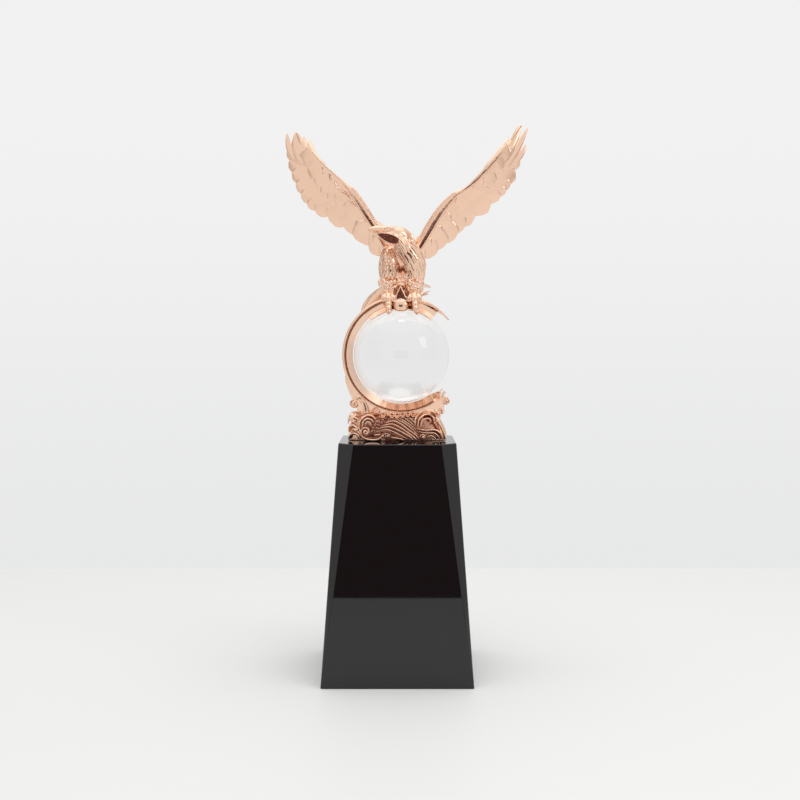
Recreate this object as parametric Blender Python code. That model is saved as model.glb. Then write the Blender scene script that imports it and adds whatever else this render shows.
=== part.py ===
"""Eagle trophy: a cast eagle on a crescent that holds a crystal ball, on a black glass plinth.

Metres, +Z up, origin at the centre of the plinth's underside. The trophy faces -Y.
"""
import math

import bmesh
import bpy
from mathutils import Vector

# Plinth, a tapered block of black glass whose cut corners run out at the foot
BASE_WIDTH = 0.080
TOP_WIDTH = 0.0623
PLINTH_HEIGHT = 0.12667
TOP_CORNER_CUT = 0.00773
EDGE_BEVEL = 0.0004

# Crystal ball
BALL_RADIUS = 0.026
BALL_OFFSET = 0.0022
BALL_SEGMENTS = 32
BALL_RINGS = 16

# Gap that is left between pieces which touch
CLEARANCE = 0.0003

# Crescent round the ball: an outer band with a face each side and a ridge towards the ball
CRESCENT_THICKNESS = 0.0056
CRESCENT_DEPTH = 0.016
FACE_WIDTH = 0.0018
UPPER_TIP_ANGLE = 36.5
LOWER_TIP_ANGLE = 320.0
TIP_THICKNESS = 0.0007
TIP_DEPTH = 0.003
UPPER_TAPER = 42.0
LOWER_TAPER = 16.0
LOWER_TIP_INSET = 0.0028
LIP_START = 50.0
LIP_END = 131.0
LIP_REACH = 0.0019
LIP_ROOT = 0.0013
LIP_WALL = 0.0012
RIDGE_EASE = 0.0002

# Wave foot under the crescent
FOOT_RISE = 0.0137
FOOT_MARGIN = 0.0031
FOOT_FACE = 0.0122
RELIEF_WIDTH = 0.0013
RELIEF_DEPTH = 0.0036
FOAM_SIZE = 0.0015

# Eagle, drawn in shares of its height above the crescent
EAGLE_HEIGHT = 0.0923
TOE_RADIUS = 0.0016
FEATHER_THICKNESS = 0.0014

# Fineness of the castings
WAVE_VOXEL = 0.00045
EAGLE_VOXEL = 0.00045
WAVE_TRIANGLES = 3300
EAGLE_TRIANGLES = 4750

# Sizes that follow from the ones above
PLINTH_TOP = PLINTH_HEIGHT
SEAT_RADIUS = BALL_RADIUS + CLEARANCE
CRESCENT_RADIUS = SEAT_RADIUS + RIDGE_EASE + CRESCENT_THICKNESS
FOOT_Z = PLINTH_TOP + CLEARANCE
FOOT_HALF_WIDTH = TOP_WIDTH / 2 - FOOT_MARGIN
BALL_CENTRE = Vector((BALL_OFFSET, 0.0, FOOT_Z + FOOT_RISE + CRESCENT_RADIUS))
PERCH = BALL_CENTRE + Vector((0.0, 0.0, CRESCENT_RADIUS + CLEARANCE))
HALF_DEPTH = CRESCENT_DEPTH / 2
EAGLE_UNIT = EAGLE_HEIGHT / 92.3
MM = 0.001


class Carving:
    """Closed shapes that overlap and are later fused into one casting."""

    def __init__(self):
        self.points = []
        self.faces = []

    def loft(self, rings):
        """Skin a row of closed rings that have as many points each, with flat ends."""
        start = len(self.points)
        count = len(rings[0])
        for ring in rings:
            self.points.extend(ring)
        for row in range(len(rings) - 1):
            for step in range(count):
                low = start + row * count
                after = (step + 1) % count
                self.faces.append((low + step, low + after, low + count + after, low + count + step))
        last = start + (len(rings) - 1) * count
        self.faces.append(tuple(start + step for step in reversed(range(count))))
        self.faces.append(tuple(last + step for step in range(count)))

    def tube(self, path, radii, sides=8):
        """A round rod along a path; radii are read along its length."""
        rings = []
        side = None
        for index, point in enumerate(path):
            ahead = path[min(index + 1, len(path) - 1)] - path[max(index - 1, 0)]
            ahead.normalize()
            if side is None:
                side = ahead.orthogonal().normalized()
            side = (side - ahead * side.dot(ahead)).normalized()
            up = ahead.cross(side)
            radius = read_along(radii, index / (len(path) - 1))
            rings.append([point + (side * math.cos(turn) + up * math.sin(turn)) * radius
                          for turn in full_turn(sides)])
        self.loft(rings)

    def blob(self, centre, radii, sides=14):
        """An egg with its axes along X, Y and Z."""
        rings = []
        bands = sides // 2
        for band in range(bands + 1):
            rise = math.pi * (0.02 + 0.96 * band / bands)
            rings.append([centre + Vector((radii[0] * math.sin(rise) * math.cos(turn),
                                           radii[1] * math.sin(rise) * math.sin(turn),
                                           -radii[2] * math.cos(rise)))
                          for turn in full_turn(sides)])
        self.loft(rings)

    def blade(self, path, width, thickness, across, outline):
        """A feather: a flat blade along a path, as wide as outline says at each share of it."""
        rings = []
        for index, point in enumerate(path):
            share = index / (len(path) - 1)
            ahead = (path[min(index + 1, len(path) - 1)] - path[max(index - 1, 0)]).normalized()
            side = (across - ahead * across.dot(ahead)).normalized()
            up = ahead.cross(side)
            half = width * read_along(outline, share) / 2
            thick = thickness * (1.0 - 0.35 * share) / 2
            section = ((-half, -0.45 * thick), (-0.5 * half, -thick), (0, -thick * 1.15),
                       (0.5 * half, -thick), (half, -0.45 * thick), (half, 0.45 * thick),
                       (0.5 * half, thick), (0, thick * 1.15), (-0.5 * half, thick),
                       (-half, 0.45 * thick))
            rings.append([point + side * wide + up * high for wide, high in section])
        self.loft(rings)


def full_turn(count):
    return [2 * math.pi * step / count for step in range(count)]


def read_along(values, share):
    """Read a list of values as an even, straight-sided graph over 0 to 1."""
    place = max(0.0, min(1.0, share)) * (len(values) - 1)
    low = min(int(place), len(values) - 2)
    return values[low] + (values[low + 1] - values[low]) * (place - low)


def ease(share):
    share = max(0.0, min(1.0, share))
    return share * share * (3 - 2 * share)


def smooth_path(knots, count):
    """A smooth curve through the knots, read at evenly counted points."""
    knots = [Vector(knot) for knot in knots]
    path = []
    for step in range(count):
        place = step / (count - 1) * (len(knots) - 1)
        low = min(int(place), len(knots) - 2)
        share = place - low
        before = knots[max(low - 1, 0)]
        here, after = knots[low], knots[low + 1]
        beyond = knots[min(low + 2, len(knots) - 1)]
        path.append(0.5 * (2 * here + (after - before) * share
                           + (2 * before - 5 * here + 4 * after - beyond) * share ** 2
                           + (3 * here - before - 3 * after + beyond) * share ** 3))
    return path


def around_ball(angle, radius, y=0.0):
    """A point at an angle in degrees, anticlockwise from +X, about the ball's centre."""
    turn = math.radians(angle)
    return BALL_CENTRE + Vector((radius * math.cos(turn), y, radius * math.sin(turn)))


def metal(name, colour, metallic, roughness):
    material = bpy.data.materials.new(name)
    material.use_nodes = True
    shader = material.node_tree.nodes["Principled BSDF"]
    shader.inputs["Base Color"].default_value = (*colour, 1.0)
    shader.inputs["Metallic"].default_value = metallic
    shader.inputs["Roughness"].default_value = roughness
    material.diffuse_color = (*colour, 1.0)
    return material


def mesh_object(name, points, faces, material=None):
    mesh = bpy.data.meshes.new(name)
    mesh.from_pydata([tuple(point) for point in points], [], faces)
    mesh.validate()
    mesh.update()
    item = bpy.data.objects.new(name, mesh)
    bpy.context.scene.collection.objects.link(item)
    if material:
        mesh.materials.append(material)
    return item


def shade(item, angle):
    item.data.shade_smooth()
    item.data.set_sharp_from_angle(angle=math.radians(angle))


def cutter(name, carving):
    item = mesh_object(name, carving.points, carving.faces)
    item.hide_render = True
    item.display_type = "WIRE"
    return item


def cut(item, tool):
    step = item.modifiers.new(tool.name, "BOOLEAN")
    step.operation = "DIFFERENCE"
    step.solver = "EXACT"
    step.object = tool


def evaluated_mesh(item):
    depsgraph = bpy.context.evaluated_depsgraph_get()
    return bpy.data.meshes.new_from_object(item.evaluated_get(depsgraph))


def largest_skin(mesh):
    """Drop the bubbles that fusing leaves inside, and keep the casting's one outer skin."""
    work = bmesh.new()
    work.from_mesh(mesh)
    left = set(work.verts)
    skins = []
    while left:
        skin, edge = set(), [left.pop()]
        while edge:
            vert = edge.pop()
            skin.add(vert)
            for link in vert.link_edges:
                other = link.other_vert(vert)
                if other in left:
                    left.discard(other)
                    edge.append(other)
        skins.append(skin)
    skins.sort(key=len)
    for skin in skins[:-1]:
        bmesh.ops.delete(work, geom=list(skin), context="VERTS")
    work.to_mesh(mesh)
    work.free()


def casting(name, carving, voxel, triangles, material):
    """Fuse a carving into one closed skin with about as many triangles as asked."""
    item = mesh_object(name, carving.points, carving.faces, material)
    fuse = item.modifiers.new("fuse", "REMESH")
    fuse.mode = "VOXEL"
    fuse.voxel_size = voxel
    fused = evaluated_mesh(item)
    fused.calc_loop_triangles()
    thin = item.modifiers.new("thin", "DECIMATE")
    thin.ratio = triangles / len(fused.loop_triangles)
    thin.use_collapse_triangulate = True
    thinned = evaluated_mesh(item)
    item.modifiers.clear()
    largest_skin(thinned)
    item.data = thinned
    if not item.data.materials:
        item.data.materials.append(material)
    shade(item, 50)
    return item


def build_plinth(material):
    """Square at the foot; above, each corner is cut wider and wider up to the top."""
    foot, top = BASE_WIDTH / 2, TOP_WIDTH / 2
    inner = top - TOP_CORNER_CUT
    corners = ((1, -1), (1, 1), (-1, 1), (-1, -1))
    points = [Vector((x * foot, y * foot, 0.0)) for x, y in corners]
    for x, y in corners:
        ends = [Vector((x * inner, y * top, PLINTH_TOP)), Vector((x * top, y * inner, PLINTH_TOP))]
        points.extend(ends if x * y < 0 else reversed(ends))
    faces = [(3, 2, 1, 0), tuple(range(4, 12))]
    for corner in range(4):
        after = (corner + 1) % 4
        first, second = 4 + 2 * corner, 5 + 2 * corner
        faces.append((corner, second, first))
        faces.append((corner, after, 4 + 2 * after, second))
    item = mesh_object("plinth", points, faces, material)
    bevel = item.modifiers.new("polished edges", "BEVEL")
    bevel.width = EDGE_BEVEL
    bevel.segments = 1
    return item


def ball_carving(radius):
    carving = Carving()
    rings = []
    for band in range(BALL_RINGS + 1):
        rise = math.pi * band / BALL_RINGS
        if band in (0, BALL_RINGS):
            rise = math.pi * (0.25 if band == 0 else BALL_RINGS - 0.25) / BALL_RINGS
        rings.append([BALL_CENTRE + Vector((radius * math.sin(rise) * math.cos(turn),
                                            radius * math.sin(rise) * math.sin(turn),
                                            -radius * math.cos(rise)))
                      for turn in full_turn(BALL_SEGMENTS)])
    carving.loft(rings)
    return carving


def build_ball(material):
    carving = ball_carving(BALL_RADIUS)
    item = mesh_object("crystal_ball", carving.points, carving.faces, material)
    shade(item, 40)
    return item


def crescent(carving, gap=0.0):
    """The open ring round the ball, thinning to a point at both ends."""
    rings = []
    steps = 84
    for step in range(steps + 1):
        angle = UPPER_TIP_ANGLE + (LOWER_TIP_ANGLE - UPPER_TIP_ANGLE) * step / steps
        upper = ease((angle - UPPER_TIP_ANGLE) / UPPER_TAPER)
        lower = ease((LOWER_TIP_ANGLE - angle) / LOWER_TAPER)
        full = upper * lower
        outer = CRESCENT_RADIUS - LOWER_TIP_INSET * (1 - lower)
        thick = TIP_THICKNESS + (CRESCENT_THICKNESS - TIP_THICKNESS) * full
        inner = outer - thick - gap
        half = (TIP_DEPTH + (CRESCENT_DEPTH - TIP_DEPTH) * full) / 2 + gap
        face = outer - min(FACE_WIDTH, 0.45 * thick) - gap
        outer += gap
        shoulder = outer - 0.3 * FACE_WIDTH
        section = ((outer, -0.82 * half), (shoulder, -half), (face, -half), (inner, 0.0),
                   (face, half), (shoulder, half), (outer, 0.82 * half))
        rings.append([around_ball(angle, radius, y) for radius, y in section])
    carving.loft([list(reversed(ring)) for ring in rings])


def lips(carving, gap=0.0):
    """A raised pad each side that laps over the top of the ball and keeps it in its seat."""
    reach = SEAT_RADIUS - LIP_REACH - gap
    root = SEAT_RADIUS + LIP_ROOT
    face = CRESCENT_RADIUS - FACE_WIDTH
    hold = math.sqrt(SEAT_RADIUS ** 2 - (SEAT_RADIUS - LIP_REACH) ** 2)
    for side in (-1, 1):
        rings = []
        for step in range(25):
            angle = LIP_START + (LIP_END - LIP_START) * step / 24
            section = ((face, HALF_DEPTH - 0.2 * LIP_WALL + gap), (root, HALF_DEPTH + 0.5 * LIP_WALL + gap),
                       (reach, hold + LIP_WALL + gap), (reach, hold - 0.3 * LIP_WALL),
                       (SEAT_RADIUS, 0.3 * HALF_DEPTH), (face, 0.5 * HALF_DEPTH))
            rings.append([around_ball(angle, radius, side * y) for radius, y in section])
        carving.loft(rings if side > 0 else [list(reversed(ring)) for ring in rings])


def foot_depth(up):
    """Half the wave foot's depth at a share of its height: upright, then drawn in to the crescent."""
    return FOOT_FACE + (HALF_DEPTH - FOOT_FACE) * ease((up - 0.88) / 0.24)


def on_foot(x, z, out=0.0, side=-1):
    """A point on the wave foot's front (side -1) or back, by millimetres across and up."""
    across = x * MM / FOOT_HALF_WIDTH
    depth = foot_depth(z * MM / FOOT_RISE) * (1 - min(abs(across), 0.97) ** 4) ** 0.25
    return Vector((x * MM, side * (depth + out * MM), FOOT_Z + z * MM))


def wave_foot(carving):
    """The mound that stands on the plinth."""
    slices = ((-0.12, -1.01, 1.00), (0.0, -1.01, 1.00), (0.12, -1.01, 0.98), (0.30, -1.00, 0.93),
              (0.50, -0.99, 0.88), (0.72, -0.96, 0.82), (0.88, -0.90, 0.79), (1.0, -0.80, 0.78),
              (1.10, -0.72, 0.72))
    rings = []
    for up, left, right in slices:
        depth = foot_depth(up) - 0.0011
        middle, half = (left + right) / 2 * FOOT_HALF_WIDTH, (right - left) / 2 * FOOT_HALF_WIDTH
        rings.append([Vector((middle + half * rounded(math.cos(turn)), depth * rounded(math.sin(turn)),
                              FOOT_Z + up * FOOT_RISE)) for turn in full_turn(28)])
    carving.loft(rings)


def rounded(share):
    """Push a circle's sine or cosine towards a rounded square."""
    return math.copysign(abs(share) ** 0.5, share)


def cradle(carving):
    """The plate that flares from the crescent down to the foot, with a horn at its right end."""
    outline = ((200, 0.4), (204, 1.2), (213, 2.4), (221, 3.5), (229, 5.4), (234, 7.4), (241, 9.5),
               (252, 8.0), (270, 5.0), (288, 6.5), (298, 6.4), (304, 5.6), (310, 4.2), (314, 1.8),
               (317, -0.9), (320, -2.6))
    inner = CRESCENT_RADIUS - FACE_WIDTH + 0.0001
    rings = []
    for angle, out in outline:
        half = HALF_DEPTH - 0.0001 + 0.0006 * ease(out / 6)
        outer = max(CRESCENT_RADIUS + out * MM, inner + 0.0006)
        if angle > 316:
            inner = outer - 0.0012
            half = 0.7 * HALF_DEPTH
        section = ((outer, -0.7 * half), (outer - 0.0005, -half), (inner, -half),
                   (inner, half), (outer - 0.0005, half), (outer, 0.7 * half))
        rings.append([around_ball(angle, radius, y) for radius, y in section])
    carving.loft([list(reversed(ring)) for ring in rings])


FIN_OUTLINE = (0.4, 0.9, 1.0, 1.0, 0.9, 0.35)


def fin(carving, path, width, deep):
    """A ridge along a path, thinner at its ends, and deep into the core behind."""
    rings = []
    for index, point in enumerate(path):
        ahead = path[min(index + 1, len(path) - 1)] - path[max(index - 1, 0)]
        side = Vector((ahead.z, 0.0, -ahead.x)).normalized()
        half = width / 2 * read_along(FIN_OUTLINE, index / (len(path) - 1))
        rings.append([point + side * half * math.cos(turn) + Vector((0.0, deep / 2 * math.sin(turn), 0.0))
                      for turn in full_turn(10)])
    carving.loft(rings)


def coil(radius, turns, start, steps):
    """Offsets of a spiral that winds in from its outer end."""
    made = []
    for step in range(steps):
        share = step / (steps - 1)
        turn = math.radians(start) + 2 * math.pi * turns * share
        reach = radius * (1 - 0.8 * share)
        made.append((reach * math.cos(turn), reach * math.sin(turn)))
    return made


def spiral(carving, centre, radius, turns, start, rod, side, rise):
    """A round rod that winds in to its heart, on the face towards side."""
    winding = coil(radius, turns, start, int(14 * abs(turns)) + 2)
    path = [centre + Vector((x, side * rise * index / len(winding), z))
            for index, (x, z) in enumerate(winding)]
    carving.tube(path, (rod, rod, rod * 0.8), 7)


def scroll(carving, angle, out, radius, start, turns):
    """A rolled scroll beside the crescent: a core through the plate and a curl on each face."""
    depth = HALF_DEPTH - 0.0010
    front = around_ball(angle, CRESCENT_RADIUS + out, -depth)
    back = around_ball(angle, CRESCENT_RADIUS + out, depth)
    carving.tube([front, back], (0.72 * radius, 0.72 * radius), 14)
    for side, end in ((-1, front), (1, back)):
        spiral(carving, end, radius * 0.78, turns, start, radius * 0.27, side, 0.0008)


def strand(carving, knots, side, out=0.0, wide=1.0):
    """A raised wave line on the foot, through points across and up in millimetres."""
    path = smooth_path([on_foot(x, z, out - 1.4, side) for x, z in knots], 16)
    fin(carving, path, wide * RELIEF_WIDTH, RELIEF_DEPTH)


def wave_curl(carving, x, z, radius, turns, start, side, out=0.0):
    """A carved curl on the foot that winds in from its outer end."""
    winding = coil(radius - 0.5, turns, start, int(14 * abs(turns)) + 2)
    path = [on_foot(x + across, z + up, out - 1.3, side) for across, up in winding]
    fin(carving, path, 0.85 * RELIEF_WIDTH, RELIEF_DEPTH)


BIG_WAVE = (((-19.4, 3.2), (-18.2, 1.6), (-15.4, 0.6), (-11.4, 0.5), (-9.0, 1.5), (-7.9, 3.4)),
            ((-20.0, 4.6), (-20.6, 8.6), (-19.0, 12.0), (-16.2, 13.6), (-13.4, 13.2), (-11.6, 11.5)),
            ((-18.0, 8.4), (-17.0, 11.0), (-14.8, 11.2), (-13.2, 9.4)))
LEFT_END = (((-26.3, 4.4), (-26.0, 7.0), (-23.8, 8.2), (-21.8, 6.9), (-21.2, 5.2)),
            ((-26.6, 0.6), (-25.4, 2.8), (-23.2, 3.8), (-21.2, 2.8), (-20.4, 0.8)),
            ((-26.8, 8.8), (-25.6, 13.0), (-23.2, 14.2), (-21.4, 13.4)))
RUNNING_LINES = (((-6.4, 9.6), (-2.0, 10.6), (2.2, 8.7), (6.2, 5.6), (9.8, 3.0), (11.4, 1.0)),
                 ((-9.4, 7.2), (-4.0, 8.3), (0.6, 6.6), (4.8, 4.0), (8.0, 1.8)),
                 ((-11.4, 4.8), (-6.4, 6.0), (-1.8, 4.6), (2.2, 2.6), (5.6, 0.9)))
RIGHT_WAVE = (((9.6, 7.8), (9.8, 12.0), (12.3, 14.9), (15.8, 16.0), (19.4, 15.2), (21.2, 12.6)),
              ((11.6, 7.4), (12.0, 11.0), (14.2, 13.0), (17.0, 13.2), (19.0, 11.4)),
              ((13.6, 7.4), (14.2, 9.6), (16.0, 10.4), (17.2, 9.2)),
              ((10.2, 6.6), (15.0, 5.6), (19.8, 5.8), (22.9, 4.0), (24.6, 0.5)),
              ((11.2, 4.4), (15.6, 3.7), (19.4, 3.7), (21.6, 2.3), (22.6, 0.5)))


def waves(carving):
    """Curls, foam and running lines over the front and the back of the foot."""
    curls = ((-17.0, 4.9, 3.1, -1.3, 215, 0.9), (-5.7, 2.4, 2.3, -1.1, 200, 0.9),
             (13.7, 2.0, 2.0, -1.0, 200, 0.9), (-23.1, 10.8, 2.5, 1.0, 330, -0.2))
    foam = ((-11.4, 16.2, 1.1), (-7.7, 13.6, 0.85), (-4.9, 14.6, 0.85), (-3.0, 13.4, 0.85),
            (-0.2, 13.3, 0.85), (2.7, 13.6, 0.85), (5.6, 14.0, 0.85), (8.4, 14.0, 0.85),
            (-12.4, 8.2, 0.9), (-9.6, 10.0, 0.8),
            (-7.7, 0.6, 0.6), (18.6, 8.2, 0.8))
    for side in (-1, 1):
        for x, z, radius, turns, start, out in curls:
            wave_curl(carving, x, z, radius, turns, start, side, out)
        for x, z, share in foam:
            size = share * FOAM_SIZE
            carving.blob(on_foot(x, z, -0.6, side), (size, 1.2 * size, size), 8)
        for knots in BIG_WAVE + RIGHT_WAVE:
            strand(carving, knots, side, 0.5)
        for knots in LEFT_END:
            strand(carving, knots, side, -0.2)
        carving.blob(on_foot(-24.0, 12.4, -2.5, side), (2.4 * MM, 1.9 * MM, 2.4 * MM), 10)
        for knots in RUNNING_LINES:
            strand(carving, knots, side, 0.2)
        strand(carving, ((20.8, 12.6), (22.8, 8.8), (24.6, 4.6), (25.8, 0.6)), side, -0.2, 2.6)
        depth = side * (HALF_DEPTH - 0.2 * MM)
        stem = smooth_path([Vector((x * MM, depth, FOOT_Z + z * MM)) for x, z in
                            ((-22.6, 22.6), (-20.2, 22.6), (-18.2, 20.4), (-17.2, 17.4), (-17.0, 14.6))], 16)
        fin(carving, stem, 1.9 * RELIEF_WIDTH, 1.2 * RELIEF_WIDTH)


def build_wave_crescent(material):
    carving = Carving()
    crescent(carving)
    lips(carving)
    cradle(carving)
    wave_foot(carving)
    scroll(carving, 225.8, 0.0046, 0.0027, 100, 1.3)
    scroll(carving, 314.0, 0.0026, 0.0023, 120, -1.3)
    scroll(carving, 306.0, 0.0050, 0.0019, 300, -1.2)
    waves(carving)
    item = casting("wave_crescent", carving, WAVE_VOXEL, WAVE_TRIANGLES, material)
    return item


def build_seat_cutters():
    ball_room = cutter("ball_room", ball_carving(SEAT_RADIUS))
    crescent_room = Carving()
    crescent(crescent_room, CLEARANCE)
    lip_room = Carving()
    lips(lip_room, CLEARANCE)
    below = Carving()
    half = BASE_WIDTH
    below.loft([[Vector((x * half, y * half, z)) for x, y in ((1, -1), (1, 1), (-1, 1), (-1, -1))]
                for z in (FOOT_Z - BASE_WIDTH / 2, FOOT_Z)])
    return (ball_room, cutter("crescent_room", crescent_room), cutter("lip_room", lip_room),
            cutter("plinth_room", below))


def figure(x, y, z):
    """A point of the eagle in its own units, from the top of the crescent."""
    return PERCH + Vector((x, y, z)) * EAGLE_UNIT


class Wing:
    """One wing: its leading edge from the shoulder, its trailing edge, and the tips beyond them."""

    def __init__(self, leading, trailing, tips, arm_sizes):
        self.arm_sizes = arm_sizes
        self.leading = smooth_path([(x, 0.0, z) for x, z in leading], 41)
        self.trailing = smooth_path([(x, 0.0, z) for x, z in trailing], 41)
        self.tips = [(Vector((x, 0.0, z)), width) for x, z, width in tips]

    def sweep(self, point):
        """How far back the wing lies at a height."""
        rise = max(0.0, point.z - 58.0) / 32.0
        return -0.8 + 3.0 * rise ** 1.6

    def lead(self, share, back=0.0):
        point = read_path(self.leading, share)
        return figure(point.x, self.sweep(point) + back, point.z)

    def tip(self, point, back=0.0):
        return figure(point.x, self.sweep(point) + 6.0 + back, point.z)

    def trail(self, share, back=0.0):
        return self.tip(read_path(self.trailing, share), back)

    def inward(self, share):
        """The way from the leading edge to the trailing edge."""
        way = self.trail(share) - self.lead(share)
        return Vector((way.x, 0.0, way.z)).normalized()


def read_path(path, share):
    place = max(0.0, min(1.0, share)) * (len(path) - 1)
    low = min(int(place), len(path) - 2)
    return path[low].lerp(path[low + 1], place - low)


LEFT_WING = Wing(
    leading=((-7.9, 28.6), (-15.5, 43.3), (-24.2, 55.8), (-30.7, 61.2), (-41.7, 70.7), (-50.4, 80.0)),
    trailing=((-9.5, 17.5), (-16.7, 24.7), (-31.5, 36.4), (-45.2, 44.3), (-52.3, 49.8), (-57.2, 59.0),
              (-60.4, 68.8), (-62.5, 77.5)),
    tips=((-62.4, 88.2, 4.4), (-57.4, 88.6, 7.4), (-53.0, 86.6, 4.8), (-50.0, 84.5, 5.0)),
    arm_sizes=(1.15, 1.10, 0.95, 0.72, 0.50, 0.38, 0.32, 0.28, 0.22))
RIGHT_WING = Wing(
    leading=((8.4, 28.6), (12.2, 36.7), (18.8, 46.5), (26.4, 53.7), (35.1, 58.8), (49.5, 73.6),
             (57.2, 82.5)),
    trailing=((11.0, 16.0), (19.5, 23.6), (30.2, 31.8), (38.1, 41.3), (50.7, 51.4), (56.7, 56.8),
              (60.4, 63.3), (64.6, 72.6)),
    tips=((67.9, 82.2, 4.0), (69.0, 91.8, 4.2), (65.2, 92.6, 5.4), (58.7, 85.2, 5.4)),
    arm_sizes=(1.15, 1.12, 1.0, 0.85, 0.66, 0.55, 0.55, 0.52, 0.30))

ROUND_FEATHER = (0.55, 0.8, 0.95, 1.0, 1.0, 0.98, 0.92, 0.72, 0.15)
POINTED_FEATHER = (0.5, 0.8, 1.0, 1.0, 1.0, 0.95, 0.85, 0.6, 0.08)


def wing_arm(carving, shape):
    """The leading edge: a sloped outer strip, a narrow flat towards the viewer, and a step to the web."""
    section = ((0.0, 1.6), (0.0, 0.2), (2.0, -2.0), (4.6, -2.15), (5.1, -0.7), (5.0, 1.0), (1.2, 2.1))
    rings = []
    for step in range(25):
        share = 0.985 * step / 24
        size = EAGLE_UNIT * read_along(shape.arm_sizes, share)
        edge, inward = shape.lead(share), shape.inward(share)
        rings.append([edge + inward * across * size + Vector((0.0, back * size, 0.0))
                      for across, back in section])
    turned = rings[0][0].x < BALL_CENTRE.x
    carving.loft(rings if turned else [list(reversed(ring)) for ring in rings])


def wing(carving, shape):
    """Arm, webbed inner part, flight feathers and a row of coverts."""
    wing_arm(carving, shape)
    thick = FEATHER_THICKNESS
    web = []
    for step in range(21):
        share = step / 20
        front, back = shape.lead(share), shape.trail(0.02 + 0.86 * share)
        front = front.lerp(back, 0.04)
        middle = front.lerp(back, 0.60 - 0.10 * share)
        deep = Vector((0.0, thick * (0.75 - 0.2 * share), 0.0))
        web.append([front - deep, middle - deep * 0.8, middle + deep * 0.8, front + deep])
    carving.loft(web)
    flight = 12
    for number in range(flight):
        share = number / (flight - 1)
        root = shape.lead(0.06 + 0.74 * share, 0.8).lerp(shape.trail(share), 0.12)
        tip = shape.trail(share)
        bend = root.lerp(tip, 0.55) + Vector((0.0, 0.0, EAGLE_UNIT * (1.0 - 4.0 * share)))
        across = shape.trail(min(share + 0.06, 1.0)) - shape.trail(max(share - 0.06, 0.0))
        width = max(across.length * 1.10, 5.4 * EAGLE_UNIT)
        carving.blade(smooth_path([root, bend, tip], 12), width, thick, across, ROUND_FEATHER)
    for number, (tip_point, width) in enumerate(shape.tips):
        share = number / (len(shape.tips) - 1)
        root = shape.lead(0.60 + 0.14 * share, 1.2 - share).lerp(shape.trail(0.8), 0.22 - 0.10 * share)
        tip = shape.tip(tip_point, -2.0 * share)
        outward = shape.lead(0.9).lerp(shape.trail(0.95), 0.75 - 0.65 * share)
        across = shape.trail(0.9) - shape.lead(0.9)
        carving.blade(smooth_path([root, outward, tip], 14), width * EAGLE_UNIT, thick * 1.1, across,
                      POINTED_FEATHER)
    coverts = 9
    for number in range(coverts):
        share = 0.05 + 0.9 * number / (coverts - 1)
        front, back = shape.lead(0.08 + 0.76 * share, -0.45), shape.trail(share, -0.45)
        path = [front.lerp(back, 0.24 + 0.34 * step / 7) for step in range(8)]
        across = shape.trail(min(share + 0.06, 1.0)) - shape.trail(max(share - 0.06, 0.0))
        carving.blade(path, max(across.length * 1.15, 5.2 * EAGLE_UNIT), thick, across, ROUND_FEATHER)


# Breast and far thigh as one mass: height, middle, forward place, half width and half depth
BREAST = ((3.0, 7.2, -4.4, 2.4, 3.2), (6.4, 7.8, -3.6, 3.2, 4.8), (11.3, 7.9, -3.0, 4.3, 6.2),
          (16.7, 6.9, -3.4, 5.5, 6.6), (22.0, 4.6, -4.4, 6.4, 6.2), (27.0, 1.6, -5.6, 5.4, 5.2),
          (31.0, -0.8, -6.6, 4.0, 4.0), (33.0, -2.4, -6.6, 2.6, 2.8))


def body(carving):
    """Trunk, near thigh, breast, neck and head, turned to the viewer's left."""
    unit = EAGLE_UNIT
    trunk = ((0.5, 8.0, 6.0, 5.0, 3.5), (0.3, 4.5, 11.0, 8.5, 6.5), (0.5, 1.0, 19.0, 10.5, 8.0),
             (0.8, 0.0, 25.0, 9.6, 7.2), (1.6, 0.0, 29.5, 6.6, 5.0))
    rings = []
    for x, y, z, wide, deep in trunk:
        rings.append([figure(x, y, z) + Vector((wide * unit * math.cos(turn), deep * unit * math.sin(turn),
                                                0.0)) for turn in full_turn(20)])
    carving.loft(rings)
    carving.blob(figure(-6.6, -2.6, 15.0), (5.8 * unit, 7.0 * unit, 11.4 * unit), 18)
    rings = []
    for z, x, y, wide, deep in BREAST:
        rings.append([figure(x, y, z) + Vector((wide * unit * math.cos(turn), deep * unit * math.sin(turn),
                                                0.0)) for turn in full_turn(20)])
    carving.loft(rings)
    carving.blob(figure(0.0, 0.5, 2.6), (6.0 * unit, 4.6 * unit, 3.4 * unit), 12)
    neck = smooth_path([figure(4.6, -1.5, 20.0), figure(3.2, -4.0, 26.0), figure(0.2, -7.0, 31.0),
                        figure(-3.8, -9.0, 32.6)], 14)
    carving.tube(neck, [unit * r for r in (5.6, 5.4, 4.9, 4.4, 3.9)], 14)
    carving.blob(figure(-4.4, -9.2, 32.7), (4.8 * unit, 3.8 * unit, 3.7 * unit), 14)
    jaw = [figure(-11.9 + 10.8 * step / 10, -13.3, 31.2 - 3.1 * step / 10) for step in range(11)]
    fin(carving, jaw, 4.8 * unit, 6.0 * unit)
    upper = smooth_path([figure(-7.5, -10.8, 33.4), figure(-11.8, -12.6, 34.2), figure(-15.4, -14.0, 34.4),
                         figure(-17.0, -14.6, 33.3)], 12)
    carving.tube(upper, [unit * r for r in (2.6, 2.1, 1.5, 1.0, 0.45)], 9)
    lower = smooth_path([figure(-7.0, -10.6, 31.0), figure(-11.5, -12.2, 31.3),
                         figure(-15.6, -13.6, 32.0)], 10)
    carving.tube(lower, [unit * r for r in (1.9, 1.4, 0.5)], 8)
    for side in (-1, 1):
        carving.blob(figure(-6.3, -9.8, 34.4) + Vector((0.0, side * 3.0 * unit, 0.0)),
                     (2.2 * unit, 1.0 * unit, 0.8 * unit), 8)


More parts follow.
